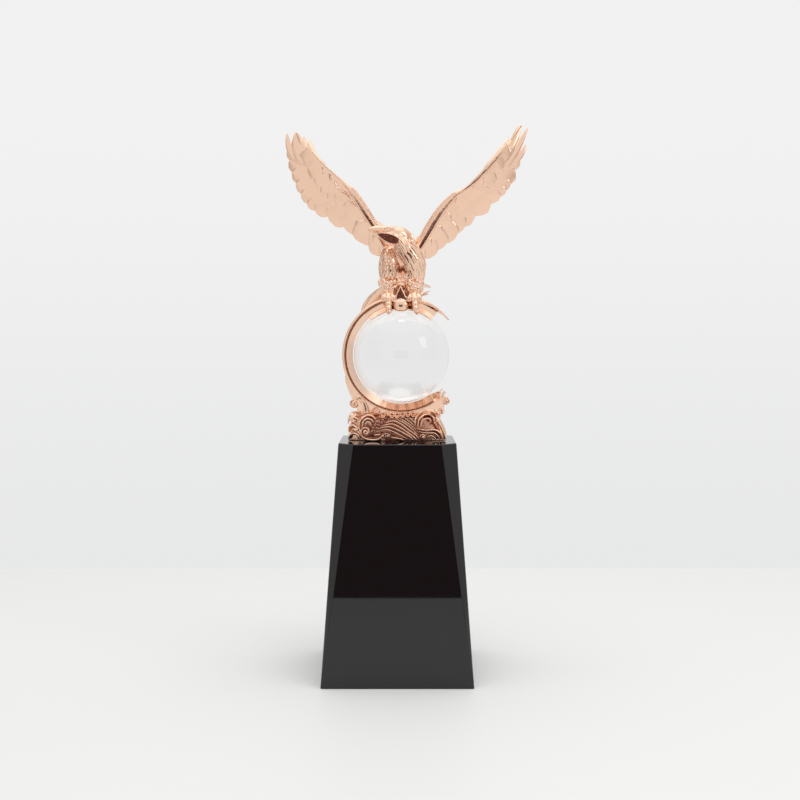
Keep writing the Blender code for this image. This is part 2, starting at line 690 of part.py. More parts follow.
def hackles(carving):
    """Long locks that sweep from the head down over the neck and the breast."""
    unit = EAGLE_UNIT
    for number in range(6):
        share = number / 5
        knots = [figure(-3.6 + 2.9 * share, -12.6 + 3.4 * share, 30.2 + 5.4 * share),
                 figure(-0.4 + 4.8 * share, -12.0 + 5.4 * share, 26.2 + 4.6 * share),
                 figure(1.6 + 6.2 * share, -11.0 + 5.0 * share, 20.5 + 4.4 * share),
                 figure(2.4 + 7.2 * share, -9.6 + 2.4 * share, 14.0 + 4.0 * share)]
        carving.tube(smooth_path(knots, 12), [unit * r for r in (0.5, 1.1, 1.2, 1.0, 0.3)], 7)
    for number in range(6):
        share = number / 5
        knots = [figure(1.0 + 3.0 * share, -2.6 + 5.6 * share, 34.6 - 1.8 * share),
                 figure(5.0 + 1.6 * share, -0.6 + 6.0 * share, 28.6),
                 figure(6.0 - 1.4 * share, 2.0 + 6.6 * share, 20.0)]
        carving.tube(smooth_path(knots, 10), [unit * r for r in (0.6, 1.5, 1.5, 0.3)], 7)


def leg(carving, x, turn_out):
    """Feathered shank, tufts above the foot, three toes over the crescent's face and one behind."""
    unit = EAGLE_UNIT
    carving.tube(smooth_path([figure(x * 1.05, -3.5, 9.0), figure(x, -5.0, 4.0), figure(x, -5.2, 1.2)], 8),
                 [unit * r for r in (4.4, 3.6, 2.8)], 12)
    for number in range(7):
        turn = math.radians(180 + 30 * number)
        carving.blob(figure(x + 4.0 * math.cos(turn), -5.2 + 4.0 * math.sin(turn), 3.6 + 1.6 * (number % 2)),
                     (1.4 * unit, 1.4 * unit, 2.4 * unit), 8)
    face = -(HALF_DEPTH + CLEARANCE + TOE_RADIUS) / EAGLE_UNIT
    lip_face = face - 2.6
    for spread, drop in ((-2.7, 0.28), (0.0, 1.0), (2.9, 0.30)):
        lean = turn_out if spread == 0.0 else 0.0
        over = lip_face * drop + face * (1 - drop)
        knots = [figure(x + 0.4 * spread, -6.5, 1.8), figure(x + 0.9 * spread, face - 0.4, -0.8),
                 figure(x + spread + 0.3 * lean, face - 1.6 * drop, -1.0 - 4.0 * drop),
                 figure(x + spread + 0.7 * lean, over, -1.0 - 7.0 * drop),
                 figure(x + 0.95 * spread + lean, over + 0.3, -1.0 - 9.9 * drop)]
        toe = smooth_path(knots, 17)
        small = 1.32 if spread == 0.0 else 0.8
        carving.tube(toe, [TOE_RADIUS * small * r for r in (0.9, 0.85, 0.8, 0.7, 0.2)], 8)
        for place in (3, 6, 9, 12):
            size = TOE_RADIUS * small * (1.22 - 0.02 * place)
            carving.blob(toe[place], (size, size, size * 0.66), 8)
    hind = smooth_path([figure(x, -3.0, 1.6), figure(x + 0.4, 4.0, 1.6), figure(x + 0.6, 8.6, -0.6),
                        figure(x + 0.6, 9.8, -3.6)], 12)
    carving.tube(hind, [TOE_RADIUS * r for r in (1.0, 0.95, 0.8, 0.2)], 8)


def tail(carving):
    """A fan of pointed feathers behind the crescent, rolled down to the viewer's left."""
    root = figure(0.5, 6.0, 6.0)
    blades = 9
    for number in range(blades):
        share = number / (blades - 1)
        spread = 2 * share - 1
        end = figure(-2.5 + 19.0 * spread, 37.0 - 8.5 * spread ** 2, -0.2 + 5.5 * spread)
        middle = root.lerp(end, 0.55) + Vector((0.0, 0.0, 0.8 * EAGLE_UNIT))
        lift = Vector((0.0, 0.0, 0.5 * EAGLE_UNIT * (number % 2)))
        path = smooth_path([root, middle + lift, end + lift], 12)
        roll = Vector((1.0, 0.0, 0.30 - 0.26 * spread))
        carving.blade(path, 6.8 * EAGLE_UNIT, FEATHER_THICKNESS, roll, POINTED_FEATHER)
    for out, down, back in ((0.0, 0.0, 0.0), (2.6, 1.6, 2.0)):
        leaf = smooth_path([figure(-6.0, 4.0, 6.5), figure(-13.4 - out, 9.0 + back, 2.6 - down),
                            figure(-19.0 - out, 11.0 + back, -3.0 - down),
                            figure(-22.4 - 0.6 * out, 12.0 + back, -8.2 - down)], 14)
        carving.blade(leaf, 8.4 * EAGLE_UNIT, FEATHER_THICKNESS, Vector((0.75, 0.0, -0.65)), POINTED_FEATHER)


def build_eagle(material):
    carving = Carving()
    body(carving)
    hackles(carving)
    wing(carving, LEFT_WING)
    wing(carving, RIGHT_WING)
    leg(carving, -7.0, 0.2)
    leg(carving, 6.8, 1.4)
    for across, up in ((-1.4, 10.5), (0.6, 11.6), (2.4, 10.0), (-0.6, 8.4), (1.4, 8.0), (0.4, 6.4)):
        carving.blob(figure(across, -5.6, up), (1.4 * EAGLE_UNIT, 1.8 * EAGLE_UNIT, 1.6 * EAGLE_UNIT), 8)
    tail(carving)
    return casting("eagle", carving, EAGLE_VOXEL, EAGLE_TRIANGLES, material)


def main():
    for item in list(bpy.data.objects):
        bpy.data.objects.remove(item, do_unlink=True)
    black_glass = metal("black glass", (0.006, 0.006, 0.007), 0.0, 0.04)
    crystal = metal("clear crystal", (0.92, 0.93, 0.93), 0.0, 0.02)
    rose_gold = metal("rose gold plate", (0.87, 0.58, 0.43), 1.0, 0.16)
    build_plinth(black_glass)
    build_ball(crystal)
    wave_crescent = build_wave_crescent(rose_gold)
    eagle = build_eagle(rose_gold)
    ball_room, crescent_room, lip_room, plinth_room = build_seat_cutters()
    cut(wave_crescent, ball_room)
    cut(wave_crescent, plinth_room)
    cut(eagle, crescent_room)
    cut(eagle, lip_room)
    cut(eagle, ball_room)


main()
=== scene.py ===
"""Eagle trophy: rose gold eagle and crescent, crystal ball and black glass plinth."""
import math

import bmesh
import bpy
import numpy as np
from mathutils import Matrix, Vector


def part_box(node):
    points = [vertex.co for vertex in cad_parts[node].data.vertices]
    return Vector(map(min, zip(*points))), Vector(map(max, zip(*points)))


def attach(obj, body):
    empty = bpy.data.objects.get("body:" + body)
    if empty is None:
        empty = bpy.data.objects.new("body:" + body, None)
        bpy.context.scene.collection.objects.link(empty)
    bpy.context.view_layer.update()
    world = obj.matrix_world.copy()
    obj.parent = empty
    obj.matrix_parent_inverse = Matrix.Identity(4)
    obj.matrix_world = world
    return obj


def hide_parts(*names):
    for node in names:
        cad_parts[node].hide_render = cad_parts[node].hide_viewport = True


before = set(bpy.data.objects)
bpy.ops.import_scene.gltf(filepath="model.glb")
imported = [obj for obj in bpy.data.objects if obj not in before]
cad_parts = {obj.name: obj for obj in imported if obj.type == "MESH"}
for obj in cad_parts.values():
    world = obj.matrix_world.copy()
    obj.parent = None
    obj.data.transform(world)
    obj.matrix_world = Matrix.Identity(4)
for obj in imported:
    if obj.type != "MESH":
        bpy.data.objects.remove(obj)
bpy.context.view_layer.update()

MM = 0.001

# Places that are read from the frame
PLINTH_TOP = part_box("plinth")[1].z
BALL_LOW, BALL_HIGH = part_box("crystal_ball")
BALL_RADIUS = (BALL_HIGH.x - BALL_LOW.x) / 2
BALL_CENTRE = (BALL_LOW + BALL_HIGH) / 2
EAGLE_LOW, EAGLE_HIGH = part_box("eagle")
WAVE_LOW, WAVE_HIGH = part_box("wave_crescent")

# Crescent round the ball
CLEARANCE = 0.0003
SEAT_RADIUS = BALL_RADIUS + CLEARANCE
CRESCENT_THICKNESS = 0.0056
RIDGE_EASE = 0.0002
CRESCENT_RADIUS = SEAT_RADIUS + RIDGE_EASE + CRESCENT_THICKNESS
CRESCENT_DEPTH = 0.016
HALF_DEPTH = CRESCENT_DEPTH / 2
UPPER_TIP_ANGLE = 36.5
LOWER_TIP_ANGLE = 320.0
TIP_THICKNESS = 0.0007
TIP_DEPTH = 0.003
UPPER_TAPER = 42.0
LOWER_TAPER = 16.0
LOWER_TIP_INSET = 0.0028
LIP_START = 50.0
LIP_END = 131.0
LIP_REACH = 0.0019
LIP_WALL = 0.0012
LIP_ROOT = 0.0008
SHARP_EDGE = math.radians(32)

# Dark line cut in each face of the crescent
GROOVE_OUT = 0.0017
GROOVE_WIDTH = 0.0007
GROOVE_DEPTH = 0.0008

# Wave foot
FOOT_Z = PLINTH_TOP + CLEARANCE
FOOT_RISE = 0.0137
FOOT_HALF_WIDTH = 0.02805
FOOT_FACE = 0.0122
MOUND_SET_BACK = 0.0021
WAVE_RELIEF_MM = 3.6
WAVE_VOXEL = 0.0002
WAVE_TRIANGLES = 190000

# Eagle, drawn in units of about a millimetre from its perch on the crescent
PERCH = BALL_CENTRE + Vector((0.0, 0.0, CRESCENT_RADIUS + CLEARANCE))
EAGLE_UNITS_HIGH = 92.3
UNIT = (EAGLE_HIGH.z - PERCH.z) / EAGLE_UNITS_HIGH
TOE_RADIUS = 0.0016
LIP_STEP = 2.6
EAGLE_VOXEL = 0.00028
EAGLE_TRIANGLES = 195000


class Socket:
    """A shader value that can be reckoned with: each operation adds a Math node."""

    def __init__(self, shader, link):
        self.shader = shader
        self.link = link

    def math(self, operation, other=None, flip=False):
        pair = [self, other] if other is not None else [self]
        if flip:
            pair.reverse()
        values = {index: value for index, value in enumerate(pair)}
        return self.shader.node("ShaderNodeMath", {"operation": operation}, values)

    def __add__(self, other):
        return self.math("ADD", other)

    __radd__ = __add__

    def __sub__(self, other):
        return self.math("SUBTRACT", other)

    def __rsub__(self, other):
        return self.math("SUBTRACT", other, True)

    def __mul__(self, other):
        return self.math("MULTIPLY", other)

    __rmul__ = __mul__

    def __pow__(self, other):
        return self.math("POWER", other)


class Shader:
    """A node tree with short calls that add its nodes."""

    def __init__(self, tree):
        self.tree = tree

    def node(self, kind, settings=None, sockets=None, output=0):
        made = self.tree.nodes.new(kind)
        for name, value in (settings or {}).items():
            setattr(made, name, value)
        for name, value in (sockets or {}).items():
            self.set(made.inputs[name], value)
        return Socket(self, made.outputs[output]) if made.outputs else None

    def set(self, place, value):
        if isinstance(value, Socket):
            self.tree.links.new(value.link, place)
        else:
            place.default_value = value

    def place(self):
        return self.node("ShaderNodeTexCoord", output="Object")

    def noise(self, scale, detail=2.0):
        return self.node("ShaderNodeTexNoise", sockets={
            "Vector": self.place(), "Scale": scale, "Detail": detail}, output="Fac")

    def blend(self, share, low, high):
        return self.node("ShaderNodeMix", {"data_type": "RGBA"}, {0: share, 6: low, 7: high}, 2)

    def step(self, value, low, high):
        return self.node("ShaderNodeMapRange", {"interpolation_type": "SMOOTHSTEP"},
                         {0: value, 1: low, 2: high, 3: 0.0, 4: 1.0})

    def bump(self, height, strength, distance):
        return self.node("ShaderNodeBump", sockets={
            "Height": height, "Strength": strength, "Distance": distance})


def finish(name, values, varying=None):
    """A Principled material: plain values on its sockets, and what varies linked to them."""
    material = bpy.data.materials.new(name)
    material.use_nodes = True
    shader = Shader(material.node_tree)
    principled = material.node_tree.nodes["Principled BSDF"]
    for socket, value in values.items():
        principled.inputs[socket].default_value = value
    if varying:
        for socket, value in varying(shader).items():
            shader.set(principled.inputs[socket], value)
    return material


def rose_gold():
    """Polished plate with a little hand polish in its gloss, and painted shade that darkens its colour in
    the wave foot's hollows.
    """
    def varying(s):
        polish = s.noise(700.0, 3.0)
        patches = s.noise(60.0, 2.0)
        grain = s.noise(2600.0, 2.0)
        down = s.node("ShaderNodeAttribute", {"attribute_name": "down"}, output="Fac")
        hollow = s.node("ShaderNodeAttribute", {"attribute_name": "hollow"}, output="Fac")
        plate = s.blend(patches, (0.92, 0.62, 0.46, 1.0), (0.95, 0.66, 0.50, 1.0))
        barbs = s.node("ShaderNodeTexVoronoi", {"feature": "SMOOTH_F1"}, {
            "Vector": s.place(), "Scale": 620.0, "Smoothness": 0.4}, "Distance")
        return {
            # Base colour blended towards deep brown where the hollow attribute is high: painted shade in
            # the recesses.
            "Base Color": s.blend(hollow, plate, (0.53, 0.26, 0.18, 1.0)),
            "Roughness": 0.09 + 0.10 * polish + 0.16 * down + 0.04 * hollow,
            "Normal": s.bump(0.05 * grain + 0.05 * polish + 0.2 * barbs * down, 0.5, 0.0006),
        }
    return finish("rose gold plate", {"Metallic": 1.0}, varying)


def black_glass():
    """Black crystal glass: deep and glossy, with fine marks."""
    def varying(s):
        marks = s.noise(420.0, 4.0)
        return {"Roughness": 0.015 + 0.05 * marks ** 3.0}
    values = {"Base Color": (0.006, 0.006, 0.007, 1.0), "IOR": 1.52}
    return finish("black glass", values, varying)


def clear_crystal():
    return finish("clear crystal", {
        "Base Color": (1.0, 1.0, 1.0, 1.0), "Roughness": 0.0, "IOR": 1.5,
        "Transmission Weight": 1.0})


def pale_paper():
    def varying(s):
        return {"Base Color": s.blend(s.noise(3.0), (0.56, 0.56, 0.56, 1.0), (0.58, 0.58, 0.58, 1.0))}
    return finish("pale paper", {"Roughness": 0.6}, varying)


class Carving:
    """Closed shapes that overlap and are later fused into one casting."""

    def __init__(self):
        self.points = []
        self.faces = []

    def loft(self, rings):
        """Skin a row of closed rings that have as many points each, with flat ends."""
        start = len(self.points)
        count = len(rings[0])
        for ring in rings:
            self.points.extend(ring)
        for row in range(len(rings) - 1):
            for step in range(count):
                low = start + row * count
                after = (step + 1) % count
                self.faces.append((low + step, low + after, low + count + after, low + count + step))
        last = start + (len(rings) - 1) * count
        self.faces.append(tuple(start + step for step in reversed(range(count))))
        self.faces.append(tuple(last + step for step in range(count)))

    def tube(self, path, radii, sides=12):
        """A round rod along a path; radii are read along its length."""
        rings = []
        side = None
        for index, point in enumerate(path):
            ahead = (path[min(index + 1, len(path) - 1)] - path[max(index - 1, 0)]).normalized()
            if side is None:
                side = ahead.orthogonal().normalized()
            side = (side - ahead * side.dot(ahead)).normalized()
            up = ahead.cross(side)
            radius = read_along(radii, index / (len(path) - 1))
            rings.append([point + (side * math.cos(turn) + up * math.sin(turn)) * radius
                          for turn in full_turn(sides)])
        self.loft(rings)

    def blob(self, centre, radii, sides=24):
        """An egg with its axes along X, Y and Z."""
        rings = []
        bands = sides // 2
        for band in range(bands + 1):
            rise = math.pi * (0.02 + 0.96 * band / bands)
            rings.append([centre + Vector((radii[0] * math.sin(rise) * math.cos(turn),
                                           radii[1] * math.sin(rise) * math.sin(turn),
                                           -radii[2] * math.cos(rise)))
                          for turn in full_turn(sides)])
        self.loft(rings)

    def ribbon(self, path, widths, heights, across, lean=0.0, sides=14, square=0.7):
        """A flat rod whose section is an oval, or nearer a bar where square is small.

        Lean lifts the side that across points to towards the viewer.
        """
        rings = []
        for index, point in enumerate(path):
            share = index / (len(path) - 1)
            ahead = (path[min(index + 1, len(path) - 1)] - path[max(index - 1, 0)]).normalized()
            side = (across - ahead * across.dot(ahead)).normalized()
            up = ahead.cross(side)
            half = read_along(widths, share) / 2
            high = read_along(heights, share) / 2
            ring = []
            for turn in full_turn(sides):
                wide = math.cos(turn)
                tall = math.copysign(abs(math.sin(turn)) ** square, math.sin(turn))
                ring.append(point + side * half * wide + up * high * tall
                            + Vector((0.0, -lean * wide, 0.0)))
            rings.append(ring)
        self.loft(rings)


def full_turn(count):
    return [2 * math.pi * step / count for step in range(count)]


def read_along(values, share):
    """Read a list of values as an even, straight-sided graph over 0 to 1."""
    place = max(0.0, min(1.0, share)) * (len(values) - 1)
    low = min(int(place), len(values) - 2)
    return values[low] + (values[low + 1] - values[low]) * (place - low)


def ease(share):
    share = max(0.0, min(1.0, share))
    return share * share * (3 - 2 * share)


def smooth_path(knots, count):
    """A smooth curve through the knots, read at evenly counted points."""
    knots = [Vector(knot) for knot in knots]
    path = []
    for step in range(count):
        place = step / (count - 1) * (len(knots) - 1)
        low = min(int(place), len(knots) - 2)
        share = place - low
        before = knots[max(low - 1, 0)]
        here, after = knots[low], knots[low + 1]
        beyond = knots[min(low + 2, len(knots) - 1)]
        path.append(0.5 * (2 * here + (after - before) * share
                           + (2 * before - 5 * here + 4 * after - beyond) * share ** 2
                           + (3 * here - before - 3 * after + beyond) * share ** 3))
    return path


def read_path(path, share):
    place = max(0.0, min(1.0, share)) * (len(path) - 1)
    low = min(int(place), len(path) - 2)
    return path[low].lerp(path[low + 1], place - low)


def around_ball(angle, radius, y=0.0):
    """A point at an angle in degrees, anticlockwise from +X, about the ball's centre."""
    turn = math.radians(angle)
    return BALL_CENTRE + Vector((radius * math.cos(turn), y, radius * math.sin(turn)))


def mesh_piece(name, points, faces, material):
    mesh = bpy.data.meshes.new(name)
    mesh.from_pydata([tuple(point) for point in points], [], faces)
    mesh.validate()
    mesh.update()
    piece = bpy.data.objects.new(name, mesh)
    bpy.context.scene.collection.objects.link(piece)
    if material:
        mesh.materials.append(material)
    return piece


def evaluated_mesh(piece):
    depsgraph = bpy.context.evaluated_depsgraph_get()
    return bpy.data.meshes.new_from_object(piece.evaluated_get(depsgraph))


def largest_skin(mesh):
    """Drop the bubbles that fusing leaves inside, and keep the casting's one outer skin."""
    work = bmesh.new()
    work.from_mesh(mesh)
    left = set(work.verts)
    skins = []
    while left:
        skin, edge = set(), [left.pop()]
        while edge:
            vert = edge.pop()
            skin.add(vert)
            for link in vert.link_edges:
                other = link.other_vert(vert)
                if other in left:
                    left.discard(other)
                    edge.append(other)
        skins.append(skin)
    skins.sort(key=len)
    for skin in skins[:-1]:
        bmesh.ops.delete(work, geom=list(skin), context="VERTS")
    work.to_mesh(mesh)
    work.free()


def stay_clear(mesh, low, high):
    """Move a casting's skin off the ball and inside the box of the solid it stands for."""
    place = np.empty(len(mesh.vertices) * 3, np.float32)
    mesh.vertices.foreach_get("co", place)
    place = place.reshape(-1, 3)
    away = place - np.array(BALL_CENTRE, np.float32)
    distance = np.linalg.norm(away, axis=1, keepdims=True)
    seat = BALL_RADIUS + 0.5 * CLEARANCE
    place = np.where(distance < seat, np.array(BALL_CENTRE) + away / distance * seat, place)
    place = np.clip(place, np.array(low), np.array(high))
    mesh.vertices.foreach_set("co", place.astype(np.float32).ravel())
    mesh.update()


def casting(name, carving, voxel, triangles, material, box, rubs=2):
    """Fuse a carving into one closed, lightly rubbed-down skin."""
    piece = mesh_piece(name, carving.points, carving.faces, material)
    fuse = piece.modifiers.new("fuse", "REMESH")
    fuse.mode = "VOXEL"
    fuse.voxel_size = voxel
    rub = piece.modifiers.new("rub down", "SMOOTH")
    rub.factor = 0.5
    rub.iterations = rubs
    fused = evaluated_mesh(piece)
    fused.calc_loop_triangles()
    count = len(fused.loop_triangles)
    if count > triangles:
        thin = piece.modifiers.new("thin", "DECIMATE")
        thin.ratio = triangles / count
        fused = evaluated_mesh(piece)
    piece.modifiers.clear()
    largest_skin(fused)
    stay_clear(fused, *box)
    piece.data = fused
    if not fused.materials:
        fused.materials.append(material)
    fused.shade_smooth()
    return piece


def stand_for(piece, node):
    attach(piece, "root")
    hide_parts(node)


def crystal_ball():
    """One smooth ball where the frame's faceted one is."""
    work = bmesh.new()
    bmesh.ops.create_uvsphere(work, u_segments=128, v_segments=64, radius=BALL_RADIUS)
    bmesh.ops.translate(work, vec=BALL_CENTRE, verts=work.verts)
    mesh = bpy.data.meshes.new("ball")
    work.to_mesh(mesh)
    work.free()
    mesh.shade_smooth()
    piece = bpy.data.objects.new("ball", mesh)
    bpy.context.scene.collection.objects.link(piece)
    mesh.materials.append(clear_crystal())
    stand_for(piece, "crystal_ball")


def crescent_section(angle):
    """Radius and depth of each corner of the crescent's section, from the outer face round."""
    upper = ease((angle - UPPER_TIP_ANGLE) / UPPER_TAPER)
    lower = ease((LOWER_TIP_ANGLE - angle) / LOWER_TAPER)
    full = upper * lower
    outer = CRESCENT_RADIUS - LOWER_TIP_INSET * (1 - lower)
    thick = TIP_THICKNESS + (CRESCENT_THICKNESS - TIP_THICKNESS) * full
    half = (TIP_DEPTH + (CRESCENT_DEPTH - TIP_DEPTH) * full) / 2
    scale = thick / CRESCENT_THICKNESS
    inner = outer - thick
    strip = outer - GROOVE_OUT * scale
    groove = GROOVE_WIDTH * scale
    cut = GROOVE_DEPTH * scale
    below = strip - groove
    front = [(outer - 0.0001 * scale, -0.90 * half), (outer - 0.0004 * scale, -0.97 * half),
             (outer - 0.0008 * scale, -half), (strip + 0.0001 * scale, -half),
             (strip, -half + 0.0002 * scale), (strip - 0.3 * groove, -half + cut),
             (below + 0.3 * groove, -half + cut), (below, -half + 0.35 * cut),
             (below - 0.1 * groove, -half + 0.3 * cut)]
    for share in (0.33, 0.66):
        front.append((below + (inner - below) * share - 0.0002 * scale * (1 - share),
                      (-half + 0.3 * cut) * (1 - share)))
    back = [(radius, -y) for radius, y in reversed(front)]
    return front + [(inner, 0.0)] + back + [(outer, 0.0)]


def crescent_band(material):
    """The open ring: a rounded rim, a cut line and a face that slopes in to the ball."""
    carving = Carving()
    steps = 360
    rings = []
    for step in range(steps + 1):
        angle = UPPER_TIP_ANGLE + (LOWER_TIP_ANGLE - UPPER_TIP_ANGLE) * step / steps
        rings.append([around_ball(angle, radius, y) for radius, y in reversed(crescent_section(angle))])
    carving.loft(rings)
    piece = mesh_piece("crescent_band", carving.points, carving.faces, material)
    piece.data.shade_smooth()
    piece.data.set_sharp_from_angle(angle=SHARP_EDGE)
    stand_for(piece, "wave_crescent")
    return piece


def crescent_lips(material):
    """A raised pad each side that laps over the top of the ball, with square ends."""
    carving = Carving()
    reach = SEAT_RADIUS - LIP_REACH
    hold = math.sqrt(SEAT_RADIUS ** 2 - reach ** 2)
    root = SEAT_RADIUS + LIP_ROOT
    face = CRESCENT_RADIUS - GROOVE_OUT - GROOVE_WIDTH
    for side in (-1, 1):
        rings = []
        for step in range(121):
            angle = LIP_START + (LIP_END - LIP_START) * step / 120
            section = ((face, 0.2 * HALF_DEPTH), (face, HALF_DEPTH - 0.0006),
                       (root + 0.0002, HALF_DEPTH + 0.0003), (root, HALF_DEPTH + 0.0006),
                       (root - 0.0003, HALF_DEPTH + 0.0009),
                       (reach + 0.0006, hold + LIP_WALL), (reach + 0.0002, hold + LIP_WALL - 0.0001),
                       (reach, hold + LIP_WALL - 0.0004), (reach + 0.0002, hold + 0.1 * LIP_WALL),
                       (SEAT_RADIUS + 0.0002, 0.2 * HALF_DEPTH))
            rings.append([around_ball(angle, radius, side * y) for radius, y in section])
        carving.loft(rings if side > 0 else [list(reversed(ring)) for ring in rings])
    piece = mesh_piece("crescent_lips", carving.points, carving.faces, material)
    piece.data.shade_smooth()
    piece.data.set_sharp_from_angle(angle=SHARP_EDGE)
    stand_for(piece, "wave_crescent")
    return piece


def foot_depth(up):
    """Half the wave foot's depth at a share of its height: upright, then drawn in to the crescent."""
    return FOOT_FACE + (HALF_DEPTH - FOOT_FACE) * ease((up - 0.88) / 0.24)


def on_foot(x, z, out=0.0, side=-1):
    """A point on the wave foot's front (side -1) or back, by millimetres across and up."""
    across, up = x * MM / FOOT_HALF_WIDTH, z * MM / FOOT_RISE
    depth = foot_depth(up) * (1 - min(abs(across), 0.97) ** 4) ** 0.25
    return Vector((x * MM, side * (depth + out * MM), FOOT_Z + z * MM))


def rounded(share):
    """Push a circle's sine or cosine towards a rounded square."""
    return math.copysign(abs(share) ** 0.5, share)


def wave_mound(carving):
    """The core that the waves are carved from, set back behind them."""
    slices = ((-0.02, -1.00, 0.99), (0.12, -1.00, 0.97), (0.30, -0.99, 0.92),
              (0.50, -0.98, 0.87), (0.72, -0.95, 0.81), (0.88, -0.89, 0.78), (1.0, -0.79, 0.77),
              (1.08, -0.71, 0.71))
    rings = []
    for up, left, right in slices:
        depth = foot_depth(up) - MOUND_SET_BACK
        middle, half = (left + right) / 2 * FOOT_HALF_WIDTH, (right - left) / 2 * FOOT_HALF_WIDTH
        half -= 0.0012
        rings.append([Vector((middle + half * rounded(math.cos(turn)), depth * rounded(math.sin(turn)),
                              FOOT_Z + up * FOOT_RISE)) for turn in full_turn(64)])
    carving.loft(rings)


def cradle(carving):
    """The smooth plate that flares from the crescent down to the foot, with a horn at its right end."""
    outline = ((200, 0.4), (204, 1.2), (213, 2.4), (221, 3.5), (229, 5.4), (234, 7.4), (241, 9.5),
               (252, 8.0), (270, 5.0), (288, 6.5), (298, 6.4), (304, 5.6), (310, 4.2), (314, 1.8),
               (317, -0.9), (320, -2.6))
    inner = CRESCENT_RADIUS - 0.0012
    rings = []
    for step in range(121):
        place = step / 120 * (len(outline) - 1)
        low = min(int(place), len(outline) - 2)
        share = place - low
        angle = outline[low][0] + (outline[low + 1][0] - outline[low][0]) * share
        out = outline[low][1] + (outline[low + 1][1] - outline[low][1]) * share
        half = HALF_DEPTH - 0.0003 + 0.0006 * ease(out / 6)
        outer = max(CRESCENT_RADIUS + out * MM, inner + 0.0008)
        root = inner
        if angle > 314:
            root = min(inner, outer - 0.0012)
            half *= 0.85
        slope = 0.26 * (outer - root)
        section = ((outer, -0.8 * half + slope), (outer - 0.0004, -half + slope), (root, -half),
                   (root, half), (outer - 0.0004, half - slope), (outer, 0.8 * half - slope))
        rings.append([around_ball(angle, radius, y) for radius, y in section])
    carving.loft([list(reversed(ring)) for ring in rings])


def fin(carving, path, widths, deep, flat=1.0):
    """A ridge with upright sides and a round top, or a flat one where flat is small."""
    rings = []
    for index, point in enumerate(path):
        ahead = path[min(index + 1, len(path) - 1)] - path[max(index - 1, 0)]
        side = Vector((ahead.z, 0.0, -ahead.x)).normalized()
        half = read_along(widths, index / (len(path) - 1)) / 2 * MM
        ring = []
        for turn in full_turn(16):
            across, out = math.cos(turn), math.sin(turn)
            top = flat * half
            rise = math.copysign(deep / 2 * MM - top, out) + top * out if abs(out) > 0.01 else 0.0
            ring.append(point + side * half * math.copysign(abs(across) ** flat, across)
                        + Vector((0.0, rise, 0.0)))
        rings.append(ring)
    carving.loft(rings)


def coil(radius, turns, start, steps):
    """Offsets of a spiral that winds in from its outer end, in millimetres."""
    made = []
    for step in range(steps):
        share = step / (steps - 1)
        turn = math.radians(start) + 2 * math.pi * turns * share
        reach = radius * (1 - 0.84 * share)
        made.append((reach * math.cos(turn), reach * math.sin(turn)))
    return made


def curl(carving, centre, radius, turns, start, rod, side, rise=0.6):
    """A round rod that winds in to its heart, for the scrolls beside the crescent."""
    path = []
    for index, (x, z) in enumerate(coil(radius, turns, start, int(30 * abs(turns)) + 4)):
        path.append(centre + Vector((x * MM, side * rise * index / 30 / abs(turns) * MM, z * MM)))
    carving.tube(path, (rod * MM, rod * MM, rod * 0.8 * MM), 10)


def wave_curl(carving, x, z, radius, turns, start, wide, side, out=0.0):
    """A carved curl on the foot: a deep ridge that winds in to a bead."""
    path = [on_foot(x + across, z + up, out - 1.3, side)
            for across, up in coil(radius - wide / 2, turns, start, int(30 * abs(turns)) + 4)]
    fin(carving, path, (0.5 * wide, wide, wide, 0.9 * wide, 0.8 * wide), WAVE_RELIEF_MM)
    size = 0.24 * radius * MM
    carving.blob(on_foot(x, z, out - 0.2, side), (size, 2.0 * size, size), 14)


def foam_ring(carving, x, z, radius, side):
    """A small round of foam with a bead in it."""
    path = [on_foot(x + (radius - 0.3) * math.cos(turn), z + (radius - 0.3) * math.sin(turn), -1.1, side)
            for turn in full_turn(24)]
    fin(carving, path + path[:1], (0.6, 0.6), 3.4)
    carving.blob(on_foot(x, z, -0.3, side), (0.42 * MM, 0.9 * MM, 0.42 * MM), 12)


def scroll(carving, angle, out, radius, start, turns):
    """A rolled scroll beside the crescent: a core through the plate and a curl on each face."""
    depth = HALF_DEPTH - 0.0012
    front = around_ball(angle, CRESCENT_RADIUS + out * MM, -depth)
    back = around_ball(angle, CRESCENT_RADIUS + out * MM, depth)
    carving.tube([front, back], (0.8 * radius * MM, 0.8 * radius * MM), 28)
    for side, end in ((-1, front), (1, back)):
        curl(carving, end, radius * 0.78, turns, start, radius * 0.27, side, 0.9)


def strand(carving, knots, wide, side, out=0.0):
    """A raised wave line on the foot, through points across and up in millimetres."""
    path = smooth_path([on_foot(x, z, out - 1.4, side) for x, z in knots], 36)
    fin(carving, path, [wide * share for share in (0.4, 0.9, 1.0, 1.0, 0.9, 0.35)], WAVE_RELIEF_MM)


